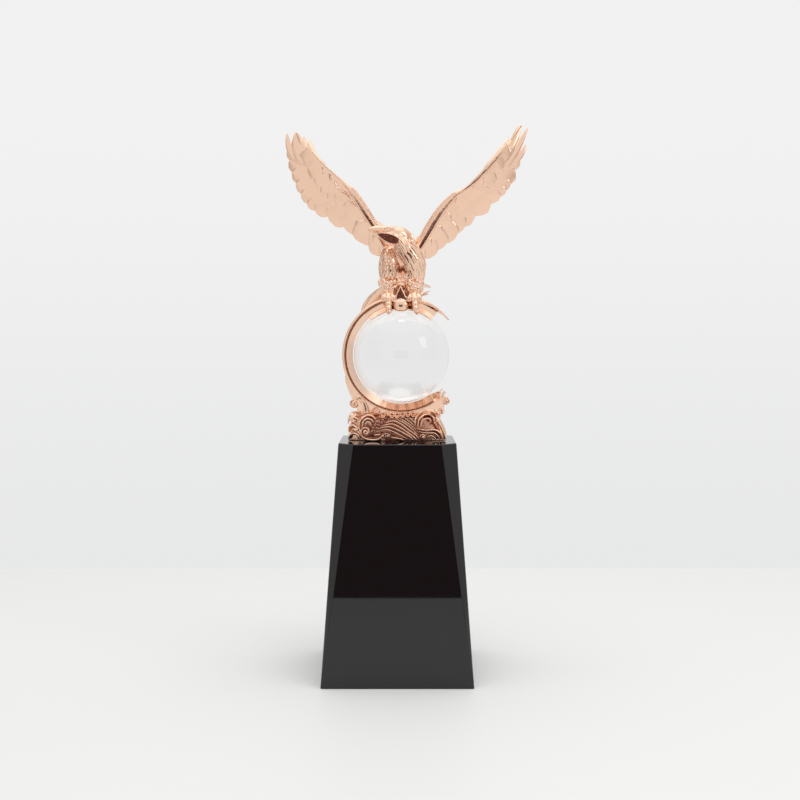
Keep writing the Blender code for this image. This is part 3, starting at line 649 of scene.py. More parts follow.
def big_wave(carving, side):
    """The curling wave at the left, with the bands that leave its spiral."""
    wave_curl(carving, -17.0, 4.9, 3.1, -1.5, 215, 1.1, side, 0.9)
    below = ((-19.4, 3.2), (-18.2, 1.6), (-15.4, 0.6), (-11.4, 0.5), (-9.0, 1.5), (-7.9, 3.4))
    outer = ((-20.0, 4.6), (-20.6, 8.6), (-19.0, 12.0), (-16.2, 13.6), (-13.4, 13.2), (-11.6, 11.5))
    middle = ((-18.8, 7.4), (-18.3, 10.2), (-16.3, 11.8), (-14.2, 11.4), (-12.8, 9.9))
    inner = ((-17.2, 8.7), (-16.2, 10.0), (-14.9, 9.8), (-13.9, 8.4))
    strand(carving, below, 1.25, side, 0.8)
    for knots, out in ((outer, 0.3), (middle, 0.7), (inner, 1.1)):
        strand(carving, knots, 1.15, side, out)
    for x, z, radius in ((-13.0, 7.0, 0.75), (-12.0, 8.6, 0.8), (-11.2, 10.2, 0.8), (-13.6, 5.2, 0.7),
                         (-12.2, 5.4, 0.55), (-10.2, 8.6, 0.6), (-9.8, 10.6, 0.65), (-8.4, 9.8, 0.55),
                         (-8.0, 11.2, 0.6), (-11.0, 7.0, 0.55)):
        carving.blob(on_foot(x, z, 0.0, side), (radius * MM, 2.0 * MM, radius * MM), 14)


def left_end(carving, side):
    """Stacked curls at the left end of the foot."""
    wave_curl(carving, -23.1, 10.8, 2.5, 1.2, 330, 1.0, side, -0.2)
    for knots in (((-26.3, 4.4), (-26.0, 7.0), (-23.8, 8.2), (-21.8, 6.9), (-21.2, 5.2)),
                  ((-24.7, 4.6), (-23.9, 6.0), (-22.6, 5.8), (-22.2, 4.8)),
                  ((-26.6, 0.6), (-25.4, 2.8), (-23.2, 3.8), (-21.2, 2.8), (-20.4, 0.8)),
                  ((-26.8, 8.8), (-25.6, 13.0), (-23.2, 14.2), (-21.4, 13.4))):
        strand(carving, knots, 1.15, side, -0.2)
    carving.blob(on_foot(-24.0, 12.4, -2.5, side), (2.4 * MM, 1.9 * MM, 2.4 * MM), 20)


def running_lines(carving, side):
    """Lines that rise from the spirals and run down together to the right."""
    wave_curl(carving, -5.7, 2.4, 2.3, -1.25, 200, 0.95, side, 0.9)
    carving.blob(on_foot(-7.7, 0.4, 0.6, side), (0.85 * MM, 1.4 * MM, 0.85 * MM), 16)
    wide_lines = (((-6.4, 9.6), (-2.0, 10.6), (2.2, 8.7), (6.2, 5.6), (9.8, 3.0), (11.4, 1.0)),
                  ((-8.6, 7.9), (-3.2, 9.0), (1.2, 7.2), (5.4, 4.4), (8.6, 2.2), (10.2, 0.4)),
                  ((-10.4, 6.4), (-4.8, 7.5), (0.0, 5.8), (4.0, 3.6), (7.2, 1.6), (8.6, 0.4)),
                  ((-11.4, 4.6), (-6.4, 6.0), (-1.8, 4.6), (2.2, 2.6), (5.6, 0.9)),
                  ((-12.4, 3.0), (-9.2, 3.4)), ((-3.2, 1.6), (0.6, 1.2), (3.4, 0.4)))
    for number, knots in enumerate(wide_lines):
        strand(carving, knots, 1.05, side, 0.25 * (number % 3))
    for knots in (((-1.6, 12.2), (3.4, 9.6), (7.8, 6.2), (10.6, 3.6)),
                  ((0.9, 12.2), (4.9, 9.9), (8.6, 7.0), (10.4, 5.2)),
                  ((3.6, 12.4), (6.4, 10.4), (9.0, 8.0)), ((6.4, 12.5), (8.0, 11.0), (9.4, 9.4))):
        strand(carving, knots, 0.75, side, -0.5)


def right_wave(carving, side):
    """Nested arcs of the crest at the right, and the bands below it."""
    for knots, wide, out in (
            (((9.6, 7.8), (9.8, 12.0), (12.3, 14.9), (15.8, 16.0), (19.4, 15.2), (21.2, 12.6)), 1.1, 0.2),
            (((11.0, 7.4), (11.4, 11.0), (13.5, 13.3), (16.4, 14.1), (19.0, 12.9), (19.8, 11.2)), 1.0, 0.6),
            (((12.5, 7.4), (12.9, 10.0), (14.8, 11.7), (17.0, 11.8), (18.3, 10.2)), 0.95, 1.0),
            (((14.0, 7.4), (14.5, 9.2), (16.0, 10.0), (17.0, 9.0)), 0.85, 1.2),
            (((10.2, 6.6), (15.0, 5.6), (19.8, 5.8), (22.9, 4.0), (24.6, 0.5)), 1.05, 0.8),
            (((11.2, 5.0), (15.6, 4.1), (19.4, 4.1), (21.6, 2.7), (22.8, 0.5)), 0.95, 0.6),
            (((15.9, 2.2), (18.6, 2.5), (20.9, 0.6)), 0.85, 0.5),
            (((20.8, 12.6), (22.8, 8.8), (24.6, 4.6), (25.8, 0.6)), 3.4, -0.2),
            (((19.8, 16.4), (22.0, 14.4), (23.2, 12.6)), 1.2, -0.4)):
        strand(carving, knots, wide, side, out)
    wave_curl(carving, 13.7, 2.0, 2.0, -1.2, 200, 0.85, side, 0.9)
    for x, z, radius in ((18.8, 8.0, 0.8), (17.2, 7.4, 0.7), (19.9, 9.6, 0.7), (15.8, 7.8, 0.6)):
        carving.blob(on_foot(x, z, 0.0, side), (radius * MM, 2.0 * MM, radius * MM), 14)


def foam(carving, side):
    """The row of foam rings along the top of the wave."""
    foam_ring(carving, -11.4, 16.2, 1.9, side)
    for x, z in ((-7.7, 13.6), (-4.9, 14.6), (-3.0, 13.4), (-0.2, 13.3), (2.7, 13.6), (5.6, 14.0),
                 (8.4, 14.0)):
        foam_ring(carving, x, z, 1.35, side)


def stem(carving, side):
    """The thick stem that carries the left scroll, with a flat edge beside the crescent."""
    depth = side * (HALF_DEPTH - 0.2 * MM)
    knots = ((-22.6, 22.6), (-20.2, 22.6), (-18.2, 20.4), (-17.2, 17.4), (-17.0, 14.6))
    path = smooth_path([Vector((x * MM, depth, FOOT_Z + z * MM)) for x, z in knots], 36)
    fin(carving, path, (1.2, 2.2, 2.6, 2.8, 3.0), 2.4, 0.6)
    edge = smooth_path([Vector(((x + 1.2) * MM, depth, FOOT_Z + z * MM)) for x, z in knots[1:]], 30)
    fin(carving, edge, (0.5, 0.9, 0.9, 0.7), 3.0, 0.35)


def mark_hollow_shade(piece):
    """Write how far each point lies back between the waves, for the colour to be darkened there as painted
    shade.
    """
    layer = piece.data.attributes.new("hollow", "FLOAT", "POINT")
    for vert in piece.data.vertices:
        x, y, z = vert.co
        up = (z - FOOT_Z) / FOOT_RISE
        across = min(abs(x) / FOOT_HALF_WIDTH, 0.97)
        face = foot_depth(up) * (1 - across ** 4) ** 0.25
        back = (face - abs(y)) / MM
        low = ease((1.12 - up) / 0.15) * ease((1.0 - abs(x) / FOOT_HALF_WIDTH) / 0.45)
        # The value grows with depth behind the face and feeds painted shade in the base colour.
        layer.data[vert.index].value = low * ease((back - 0.3) / 1.9)


def wave_foot(material):
    carving = Carving()
    cradle(carving)
    wave_mound(carving)
    scroll(carving, 225.8, 4.6, 2.7, 100, 1.4)
    scroll(carving, 314.0, 2.6, 2.3, 120, -1.4)
    scroll(carving, 306.0, 5.0, 1.9, 300, -1.2)
    for side in (-1, 1):
        big_wave(carving, side)
        left_end(carving, side)
        running_lines(carving, side)
        right_wave(carving, side)
        foam(carving, side)
        stem(carving, side)
    low = Vector((WAVE_LOW.x, WAVE_LOW.y, FOOT_Z - 0.5 * CLEARANCE))
    piece = casting("wave_foot", carving, WAVE_VOXEL, WAVE_TRIANGLES, material, (low, WAVE_HIGH), 1)
    mark_hollow_shade(piece)
    stand_for(piece, "wave_crescent")
    return piece


def figure(x, y, z):
    """A point of the eagle in its own units, from the top of the crescent."""
    return PERCH + Vector((x, y, z)) * UNIT


def units(*values):
    return [UNIT * value for value in values]


class Wing:
    """One wing: its leading edge from the shoulder, its trailing edge, and the tips beyond them."""

    def __init__(self, leading, trailing, tips, arm_sizes, strips):
        self.arm_sizes = arm_sizes
        self.strips = strips
        self.leading = smooth_path([(x, 0.0, z) for x, z in leading], 81)
        self.trailing = smooth_path([(x, 0.0, z) for x, z in trailing], 81)
        self.tips = [(Vector((x, 0.0, z)), width, edged) for x, z, width, edged in tips]

    def sweep(self, point):
        """How far back the wing lies at a height."""
        rise = max(0.0, point.z - 58.0) / 32.0
        return -0.8 + 1.6 * rise ** 1.3

    def lead(self, share, back=0.0):
        point = read_path(self.leading, share)
        return figure(point.x, self.sweep(point) + back, point.z)

    def tip(self, point, back=0.0):
        return figure(point.x, self.sweep(point) + 6.0 + back, point.z)

    def trail(self, share, back=0.0):
        return self.tip(read_path(self.trailing, share), back)

    def inward(self, share):
        """The way from the leading edge to the trailing edge."""
        way = self.trail(share) - self.lead(share)
        return Vector((way.x, 0.0, way.z)).normalized()


LEFT_WING = Wing(
    leading=((-7.9, 28.6), (-15.5, 43.3), (-24.2, 55.8), (-30.7, 61.2), (-41.7, 70.7), (-50.4, 80.0)),
    trailing=((-9.5, 17.5), (-16.7, 24.7), (-31.5, 36.4), (-45.2, 44.3), (-52.3, 49.8), (-57.2, 59.0),
              (-60.4, 68.8), (-62.5, 77.5)),
    tips=((-62.4, 88.2, 4.4, False), (-57.4, 88.6, 7.4, True), (-53.0, 86.6, 4.8, False),
          (-50.0, 84.5, 5.0, False)),
    arm_sizes=(1.20, 1.15, 1.00, 0.76, 0.48, 0.26, 0.18, 0.16, 0.14),
    strips=(1.0, 1.0, 1.0, 1.0, 1.0, 1.0, 1.0, 1.0, 1.0))
RIGHT_WING = Wing(
    leading=((8.4, 28.6), (12.2, 36.7), (18.8, 46.5), (26.4, 53.7), (35.1, 58.8), (49.5, 73.6),
             (57.2, 82.5)),
    trailing=((11.0, 16.0), (19.5, 23.6), (30.2, 31.8), (38.1, 41.3), (50.7, 51.4), (56.7, 56.8),
              (60.4, 63.3), (64.6, 72.6)),
    tips=((67.9, 82.2, 4.0, False), (69.0, 91.8, 4.2, False), (65.2, 92.6, 5.4, True),
          (58.7, 85.2, 5.4, False)),
    arm_sizes=(1.20, 1.16, 1.04, 0.86, 0.64, 0.50, 0.50, 0.48, 0.36),
    strips=(1.0, 1.0, 1.0, 0.95, 0.7, 0.30, 0.15, 0.10, 0.10))

ROUND_TIP = (0.55, 0.85, 1.0, 1.0, 1.0, 1.0, 0.98, 0.90, 0.70, 0.10)
SHARP_TIP = (0.5, 0.8, 1.0, 1.0, 1.0, 0.97, 0.88, 0.68, 0.40, 0.06)
LEAF_TIP = (0.5, 0.8, 1.0, 1.0, 0.92, 0.78, 0.62, 0.44, 0.25, 0.04)
FEATHER_BODY = (1.0, 1.0, 0.95, 0.85, 0.7, 0.5)


def feather(carving, path, width, thick, across, lean, shape):
    widths = [width * share for share in shape]
    heights = [thick * share for share in FEATHER_BODY]
    carving.ribbon(path, widths, heights, across, lean, 18, 0.75)


def wing_arm(carving, shape):
    """The leading edge: a sloped outer strip, a narrow flat towards the viewer, and a step to the web."""
    rings = []
    for step in range(65):
        share = 0.985 * step / 64
        size = read_along(shape.arm_sizes, share)
        strip = 2.0 * read_along(shape.strips, share)
        section = ((0.0, 1.6), (0.0, 0.6), (0.15 * strip, -0.4), (strip, -2.0), (strip + 0.3, -2.15),
                   (4.7, -2.15), (4.95, -2.0), (5.3, -0.7), (5.0, 1.0), (3.6, 1.9), (1.2, 2.1))
        edge, inward = shape.lead(share), shape.inward(share)
        rings.append([edge + inward * across * size * UNIT + Vector((0.0, back * size * UNIT, 0.0))
                      for across, back in section])
    turned = rings[0][0].x < BALL_CENTRE.x
    carving.loft(rings if turned else [list(reversed(ring)) for ring in rings])


def wing(carving, shape):
    """Arm, webbed inner part, flight feathers and a row of coverts."""
    wing_arm(carving, shape)
    web = []
    for step in range(65):
        share = step / 64
        front, back = shape.lead(share), shape.trail(0.02 + 0.86 * share)
        front = front.lerp(back, 0.04)
        middle = front.lerp(back, 0.50 - 0.10 * share)
        deep = Vector((0.0, 0.75 * UNIT * (1.0 - 0.3 * share), 0.0))
        web.append([front - deep, middle - deep * 0.5, middle + deep * 0.5, front + deep])
    carving.loft(web)
    flight = 12
    for number in range(flight):
        share = number / (flight - 1)
        root = shape.lead(0.06 + 0.74 * share, 0.8).lerp(shape.trail(share), 0.12)
        tip = shape.trail(share)
        bend = root.lerp(tip, 0.55) + Vector((0.0, 0.0, UNIT * (1.0 - 4.0 * share)))
        path = smooth_path([root, bend, tip], 28)
        across = shape.trail(min(share + 0.06, 1.0)) - shape.trail(max(share - 0.06, 0.0))
        width = max(across.length * 1.10, 5.4 * UNIT)
        feather(carving, path, width, 1.7 * UNIT, across, 0.55 * UNIT, ROUND_TIP)
    for number, (tip_point, width, edged) in enumerate(shape.tips):
        share = number / (len(shape.tips) - 1)
        root = shape.lead(0.60 + 0.14 * share, 1.2 - share).lerp(shape.trail(0.8), 0.22 - 0.10 * share)
        tip = shape.tip(tip_point, -2.0 * share)
        outward = shape.lead(0.9, 0.9 * share).lerp(shape.trail(0.95), 0.75 - 0.65 * share)
        path = smooth_path([root, outward, tip], 36)
        across = shape.trail(0.9) - shape.lead(0.9)
        feather(carving, path, width * UNIT, 1.7 * UNIT, across, 0.5 * UNIT, SHARP_TIP)
        if edged:
            way = Vector((across.x, 0.0, across.z)).normalized()
            edge = [point - way * 0.44 * width * UNIT * read_along(SHARP_TIP, 0.66 + 0.31 * index / 10)
                    + Vector((0.0, -0.6 * UNIT, 0.0)) for index, point in enumerate(path[24:35])]
            carving.ribbon(edge, units(0.5, 1.3, 1.3, 1.2, 0.5), units(1.2, 1.6, 1.6, 1.4, 0.8), across,
                           0.0, 16, 0.3)
    count = 9
    for number in range(count):
        share = 0.05 + 0.90 * number / (count - 1)
        front, back = shape.lead(0.08 + 0.76 * share, -0.45), shape.trail(share, -0.45)
        path = [front.lerp(back, 0.24 + 0.34 * step / 19) for step in range(20)]
        across = shape.trail(min(share + 0.06, 1.0)) - shape.trail(max(share - 0.06, 0.0))
        width = max(across.length * 1.15, 5.2 * UNIT)
        feather(carving, path, width, 1.4 * UNIT, across, 0.40 * UNIT, ROUND_TIP)


# Near thigh: place across, forward and up, and its half sizes
THIGH_PLACE = (-6.6, -2.6, 15.0)
THIGH_SIZE = (5.8, 7.0, 11.4)

# Breast and far thigh as one mass: height, middle, forward place, half width and half depth
BREAST = ((33.0, -2.4, -6.6, 2.6, 2.8), (31.0, -0.8, -6.6, 4.0, 4.0), (27.0, 1.6, -5.6, 5.4, 5.2),
          (22.0, 4.6, -4.4, 6.4, 6.2), (16.7, 6.9, -3.4, 5.5, 6.6), (11.3, 7.9, -3.0, 4.3, 6.2),
          (6.4, 7.8, -3.6, 3.2, 4.8), (3.0, 7.2, -4.4, 2.4, 3.2))


def trunk(carving):
    """Trunk, near thigh and breast, and the underside with its tufts."""
    slices = ((0.5, 8.0, 6.0, 5.0, 3.5), (0.3, 4.5, 11.0, 8.5, 6.5), (0.5, 1.0, 19.0, 10.5, 8.0),
              (0.8, 0.0, 25.0, 9.6, 7.2), (1.6, 0.0, 29.5, 6.6, 5.0))
    rings = []
    for x, y, z, wide, deep in slices:
        rings.append([figure(x + wide * math.cos(turn), y + deep * math.sin(turn), z)
                      for turn in full_turn(40)])
    carving.loft(rings)
    carving.blob(figure(*THIGH_PLACE), units(*THIGH_SIZE), 36)
    rings = []
    for step in range(31):
        level = 33.0 - 29.5 * step / 30
        middle, y, wide, deep = breast_at(level)
        rings.append([figure(middle + wide * math.cos(turn), y + deep * math.sin(turn), level)
                      for turn in reversed(full_turn(40))])
    carving.loft(rings)
    carving.blob(figure(0.2, 1.6, 0.8), units(6.4, 3.4, 2.2), 24)
    for number in range(7):
        across = -3.4 + 1.2 * number
        middle = figure(across, -3.6 - 0.5 * (number % 2), 5.0)
        path = smooth_path([figure(across * 0.6, -4.4, 10.5), middle, figure(across * 1.1, -1.8, 0.2)], 18)
        carving.ribbon(path, units(1.2, 1.9, 1.7, 0.5), units(1.6, 2.4, 2.2, 1.4),
                       Vector((1.0, 0.0, 0.0)))


def breast_at(level):
    """Middle, forward place and half sizes of the breast at a height."""
    for upper, lower in zip(BREAST, BREAST[1:]):
        if level >= lower[0]:
            share = (upper[0] - level) / (upper[0] - lower[0])
            return [high + (low - high) * share for high, low in zip(upper[1:], lower[1:])]
    return list(BREAST[-1][1:])


def on_breast(level, share, out=0.0):
    """A point on the front of the breast, from its left side (0) to its right (1)."""
    middle, y, wide, deep = breast_at(level)
    turn = math.pi * (1.0 + share)
    return figure(middle + (wide + out) * math.cos(turn), y + (deep + out) * math.sin(turn), level)


def head(carving):
    """Neck, skull, brows, eyes and the open hooked beak, turned to the viewer's left."""
    neck = smooth_path([figure(4.6, -1.5, 20.0), figure(3.2, -4.0, 26.0), figure(0.2, -7.0, 31.0),
                        figure(-3.8, -9.0, 32.6)], 24)
    carving.tube(neck, units(5.6, 5.4, 4.9, 4.4, 3.9), 24)
    carving.blob(figure(-4.4, -9.2, 32.7), units(4.8, 3.8, 3.7), 30)
    jaw = [figure(-12.6 + 11.0 * step / 20, -13.4, 31.7 - 4.0 * step / 20) for step in range(21)]
    fin(carving, jaw, (1.0, 2.8, 4.2, 5.0, 5.2, 4.8, 2.8), 6.2, 0.4)
    upper = smooth_path([figure(-5.4, -10.4, 33.4), figure(-9.0, -11.8, 34.3),
                         figure(-12.6, -13.0, 34.6), figure(-15.6, -14.0, 34.5),
                         figure(-16.9, -14.5, 33.9), figure(-17.0, -14.6, 32.4)], 36)
    carving.tube(upper, units(2.5, 2.3, 2.0, 1.6, 1.25, 0.95, 0.75, 0.35), 18)
    lower = smooth_path([figure(-7.6, -11.4, 31.0), figure(-11.0, -12.4, 31.2),
                         figure(-13.6, -13.1, 31.8), figure(-15.3, -13.5, 32.2)], 24)
    carving.tube(lower, units(1.6, 1.3, 0.95, 0.4), 14)
    for side in (-1, 1):
        shift = Vector((0.0, side * 2.9 * UNIT, 0.0))
        brow = smooth_path([figure(-9.8, -11.6, 34.2) + 0.55 * shift, figure(-7.2, -10.4, 35.2) + shift,
                            figure(-3.6, -9.0, 34.9) + 1.15 * shift], 16)
        carving.tube(brow, units(0.5, 0.85, 0.9, 0.3), 10)
        carving.blob(figure(-6.9, -10.5, 33.6) + shift * 1.05, units(0.9, 0.8, 0.8), 16)
        cheek = smooth_path([figure(-10.2, -11.4, 32.4) + 0.6 * shift,
                             figure(-7.2, -10.4, 31.8) + 1.1 * shift,
                             figure(-3.6, -9.0, 32.2) + 1.25 * shift], 16)
        carving.tube(cheek, units(0.45, 0.9, 1.1, 0.3), 10)


def lock(carving, knots, width, thick, across):
    """A pointed feather lock that stands a little off the neck."""
    path = smooth_path([figure(*knot) for knot in knots], 22)
    widths = units(*(width * share for share in (0.5, 0.9, 1.0, 0.95, 0.75, 0.08)))
    heights = units(*(thick * share for share in (0.6, 1.0, 1.0, 0.9, 0.6, 0.15)))
    carving.ribbon(path, widths, heights, across, 0.0, 12, 0.7)


def hackles(carving):
    """Long locks that sweep from the head down over the neck and the breast."""
    for number in range(6):
        share = number / 5
        knots = [(-3.4 + 1.8 * share, -12.8 + 3.2 * share, 31.6 + 4.2 * share),
                 (-1.2 + 3.0 * share, -13.0 + 5.0 * share, 29.2 + 5.0 * share),
                 (1.4 + 4.0 * share, -12.6 + 5.2 * share, 25.6 + 5.4 * share),
                 (2.8 + 5.4 * share, -11.8 + 4.6 * share, 21.4 + 5.6 * share)]
        lock(carving, knots, 2.2, 1.2, Vector((0.8, 0.0, 0.6)))
    for tier, (top, drop) in enumerate(((28.5, 11.5), (22.5, 11.5), (16.5, 10.5))):
        for number in range(8):
            share = 0.06 + 0.88 * (number + 0.5 * (tier % 2)) / 8
            start = top + 1.5 * math.sin(2.1 * number + tier)
            path = [on_breast(start - drop * step / 21, share + 0.07 * step / 21, 0.05 + 0.2 * step / 21)
                    for step in range(22)]
            carving.ribbon(path, units(1.2, 2.1, 2.3, 2.1, 1.5, 0.15), units(0.5, 0.7, 0.7, 0.6, 0.5, 0.2),
                           Vector((1.0, 0.6 - 1.2 * share, 0.0)), 0.0, 12, 0.9)
    for number in range(6):
        share = number / 5
        knots = [(0.2 + 3.0 * share, -3.4 + 5.0 * share, 35.0 - 2.4 * share),
                 (4.4 + 1.6 * share, -1.4 + 6.0 * share, 29.6),
                 (6.2 - 1.0 * share, 1.0 + 6.6 * share, 23.0),
                 (6.6 - 2.0 * share, 2.4 + 7.0 * share, 17.0)]
        lock(carving, knots, 3.6, 1.4, Vector((0.3, 0.9, 0.3)))
    for number in range(5):
        share = number / 4
        knots = [(-4.6 + 1.2 * share, -5.6 + 2.2 * share, 33.6 - 2.0 * share),
                 (-3.2 + 2.0 * share, -4.0 + 3.6 * share, 27.6),
                 (-3.0 + 2.4 * share, -1.0 + 5.4 * share, 20.4)]
        lock(carving, knots, 3.6, 1.4, Vector((0.3, 0.9, 0.0)))


def leg(carving, x, turn_out):
    """Feathered shank, tufts above the foot, three toes over the crescent's face and one behind."""
    shank = smooth_path([figure(x * 1.05, -3.5, 9.0), figure(x, -5.0, 4.0), figure(x, -5.2, 1.2)], 12)
    carving.tube(shank, units(4.4, 3.6, 2.8), 20)
    tufts = ((6, 3.2, 1.6, 1.2), (7, 4.0, 3.7, 1.35), (7, 4.6, 6.2, 1.4))
    for row, (count, reach, height, size) in enumerate(tufts):
        for number in range(count):
            turn = math.radians(185 + (170 * (number + 0.5 * (row % 2))) / (count - 0.5))
            drop = 0.7 * math.sin(2.4 * number + 1.7 * row + x)
            carving.blob(figure(x + reach * math.cos(turn), -5.4 + reach * math.sin(turn), height + drop),
                         units(0.85 * size, size, size * (1.35 + 0.2 * math.cos(3.0 * number))), 14)
    face = -(HALF_DEPTH + CLEARANCE + TOE_RADIUS) / UNIT
    lip_face = face - LIP_STEP
    for spread, drop in ((-2.7, 0.28), (0.0, 1.0), (2.9, 0.30)):
        lean = turn_out if drop == 1.0 else 0.0
        over = lip_face * drop + face * (1 - drop)
        knots = [figure(x + 0.4 * spread, -6.5, 1.8), figure(x + 0.9 * spread, face - 0.4, -0.8),
                 figure(x + spread + 0.3 * lean, face - 1.6 * drop, -1.0 - 4.0 * drop),
                 figure(x + spread + 0.7 * lean, over, -1.0 - 7.0 * drop),
                 figure(x + 0.95 * spread + lean, over + 0.3, -1.0 - 9.9 * drop)]
        toe = smooth_path(knots, 25)
        small = 1.32 if drop == 1.0 else 0.8
        carving.tube(toe, [TOE_RADIUS * small * r for r in (0.9, 0.85, 0.8, 0.7, 0.2)], 16)
        for place in (4, 8, 12, 16, 20):
            size = TOE_RADIUS * small * (1.22 - 0.022 * place)
            carving.blob(toe[place], (size, size, size * 0.66), 18)
    hind = smooth_path([figure(x, -3.0, 1.6), figure(x + 0.4, 4.0, 1.6), figure(x + 0.6, 8.6, -0.6),
                        figure(x + 0.6, 9.8, -3.6)], 20)
    carving.tube(hind, [TOE_RADIUS * r for r in (1.0, 0.95, 0.8, 0.2)], 14)
    for place in (8, 12, 15):
        carving.blob(hind[place], [1.1 * TOE_RADIUS] * 3, 14)


def belly(carving):
    """Small rounded tufts between the thighs, and the hollow and the boss between the feet."""
    for across, up in ((-1.4, 11.0), (0.8, 11.8), (2.6, 10.4), (-2.2, 9.0), (-0.4, 9.4), (1.6, 9.2),
                       (3.2, 8.6), (-1.4, 7.2), (0.4, 7.4), (2.2, 7.0), (-0.4, 5.4), (1.2, 5.2)):
        carving.blob(figure(across, -5.8, up), units(1.1, 1.7, 1.3), 14)
    face = -(HALF_DEPTH + CLEARANCE) / UNIT
    hollow = [figure(-0.6 + 0.2 * step / 12, face - 1.5, 4.6 - 8.0 * step / 12) for step in range(13)]
    fin(carving, hollow, (0.6, 2.4, 4.4, 6.2, 7.4), 2.2, 0.15)
    carving.blob(figure(-0.4, face - 2.2, -6.0), units(3.9, 1.9, 3.6), 30)


def tail(carving):
    """A fan of pointed feathers behind the crescent, rolled down to the viewer's left."""
    root = figure(0.5, 6.0, 6.0)
    blades = 9
    for number in range(blades):
        share = number / (blades - 1)
        spread = 2 * share - 1
        end = figure(-2.5 + 19.0 * spread, 37.0 - 8.5 * spread ** 2, -0.2 + 5.5 * spread)
        middle = root.lerp(end, 0.55) + Vector((0.0, 0.0, 0.8 * UNIT))
        lift = Vector((0.0, 0.0, 0.5 * UNIT * (number % 2)))
        path = smooth_path([root, middle + lift, end + lift], 30)
        roll = Vector((1.0, 0.0, 0.30 - 0.26 * spread))
        feather(carving, path, 6.8 * UNIT, 1.5 * UNIT, roll, 0.0, SHARP_TIP)
    for rise, reach in ((2.9, 16.2), (1.0, 15.4)):
        blade = smooth_path([figure(8.0, 6.0, -0.6), figure(12.0, 9.0, 0.2 + 0.4 * rise),
                             figure(reach, 12.0, rise)], 24)
        feather(carving, blade, 2.0 * UNIT, 0.9 * UNIT, Vector((-0.4, 0.0, 0.9)), 0.0, LEAF_TIP)
    for out, down, back in ((0.0, 0.0, 0.0), (2.6, 1.6, 2.0)):
        leaf = smooth_path([figure(-6.0, 4.0, 5.2), figure(-12.0 - out, 9.0 + back, 0.8 - down),
                            figure(-17.4 - out, 11.0 + back, -4.4 - down),
                            figure(-21.4 - 0.3 * out, 12.0 + back, -9.0 - 0.6 * down)], 30)
        feather(carving, leaf, 6.0 * UNIT, 1.6 * UNIT, Vector((0.75, 0.0, -0.65)), 0.0, LEAF_TIP)


def mark_down(piece):
    """Write how far each point lies in the downy near thigh, for the finish to read."""
    mesh = piece.data
    place = np.empty(len(mesh.vertices) * 3, np.float32)
    mesh.vertices.foreach_get("co", place)
    place = (place.reshape(-1, 3) - np.array(PERCH)) / UNIT
    spot = (place - np.array(THIGH_PLACE)) / (np.array(THIGH_SIZE) + (0.8, 0.8, 1.0))
    reach = np.linalg.norm(spot, axis=1)
    down = np.clip((1.12 - reach) / 0.12, 0.0, 1.0)
    layer = mesh.attributes.new("down", "FLOAT", "POINT")
    layer.data.foreach_set("value", down.astype(np.float32))


def eagle(material):
    carving = Carving()
    trunk(carving)
    head(carving)
    hackles(carving)
    wing(carving, LEFT_WING)
    wing(carving, RIGHT_WING)
    leg(carving, -7.0, 0.2)
    leg(carving, 6.8, 1.4)
    belly(carving)
    tail(carving)
    piece = casting("eagle_casting", carving, EAGLE_VOXEL, EAGLE_TRIANGLES, material,
                    (EAGLE_LOW, EAGLE_HIGH))
    mark_down(piece)
    stand_for(piece, "eagle")
    return piece


def small_scale(name, length, width, thick):
    """A rounded plate of a few dozen faces, its free end towards +Y and its back on XY."""
    carving = Carving()
    rings = []
    for share, wide, high in ((0.0, 0.35, 0.2), (0.3, 0.9, 0.6), (0.6, 1.0, 0.9), (0.85, 0.75, 1.0),
                              (1.0, 0.25, 0.7)):
        rings.append([Vector((width / 2 * wide * math.cos(turn), length * (share - 0.4),
                              thick * high * math.sin(turn))) for turn in reversed(full_turn(6))])
    carving.loft(rings)
    shape = mesh_piece(name, carving.points, carving.faces, None)
    shape.data.shade_smooth()
    return shape


def scatter_tree(shape, material, on_faces):
    """Lay a small shape on a mesh's points, or spread it over its faces."""
    tree = bpy.data.node_groups.new("lay small shapes", "GeometryNodeTree")
    tree.interface.new_socket("Surface", in_out="INPUT", socket_type="NodeSocketGeometry")
    spacing = tree.interface.new_socket("Spacing", in_out="INPUT", socket_type="NodeSocketFloat")
    tree.interface.new_socket("Laid", in_out="OUTPUT", socket_type="NodeSocketGeometry")
    s = Shader(tree)
    surface = s.node("NodeGroupInput", output=0)
    gap = Socket(s, surface.link.node.outputs[1])
    if on_faces:
        spread = s.node("GeometryNodeDistributePointsOnFaces", {"distribute_method": "POISSON"},
                        {"Mesh": surface, "Distance Min": gap, "Density Max": 4.0e6, "Seed": 7})
        points, facing = spread, Socket(s, spread.link.node.outputs["Normal"])
    else:
        points = surface
        facing = s.node("GeometryNodeInputNamedAttribute", {"data_type": "FLOAT_VECTOR"},
                        {"Name": "facing"})
    upright = s.node("FunctionNodeAlignRotationToVector", {"axis": "Z"}, {"Vector": facing})
    along = s.node("GeometryNodeInputNamedAttribute", {"data_type": "FLOAT_VECTOR"}, {"Name": "along"})
    turned = s.node("FunctionNodeAlignRotationToVector", {"axis": "Y", "pivot_axis": "Z"},
                    {"Rotation": upright, "Vector": along})
    size = s.node("FunctionNodeRandomValue", sockets={2: 0.85, 3: 1.15, "Seed": 3}, output=1)
    made = s.node("GeometryNodeObjectInfo", {"transform_space": "ORIGINAL"}, {"Object": shape}, "Geometry")
    laid = s.node("GeometryNodeInstanceOnPoints", sockets={
        "Points": points, "Instance": made, "Rotation": turned, "Scale": size})
    whole = s.node("GeometryNodeRealizeInstances", sockets={"Geometry": laid})
    dressed = s.node("GeometryNodeSetMaterial", sockets={"Geometry": whole, "Material": material})
    s.node("NodeGroupOutput", sockets={0: dressed})
    return tree, spacing.identifier


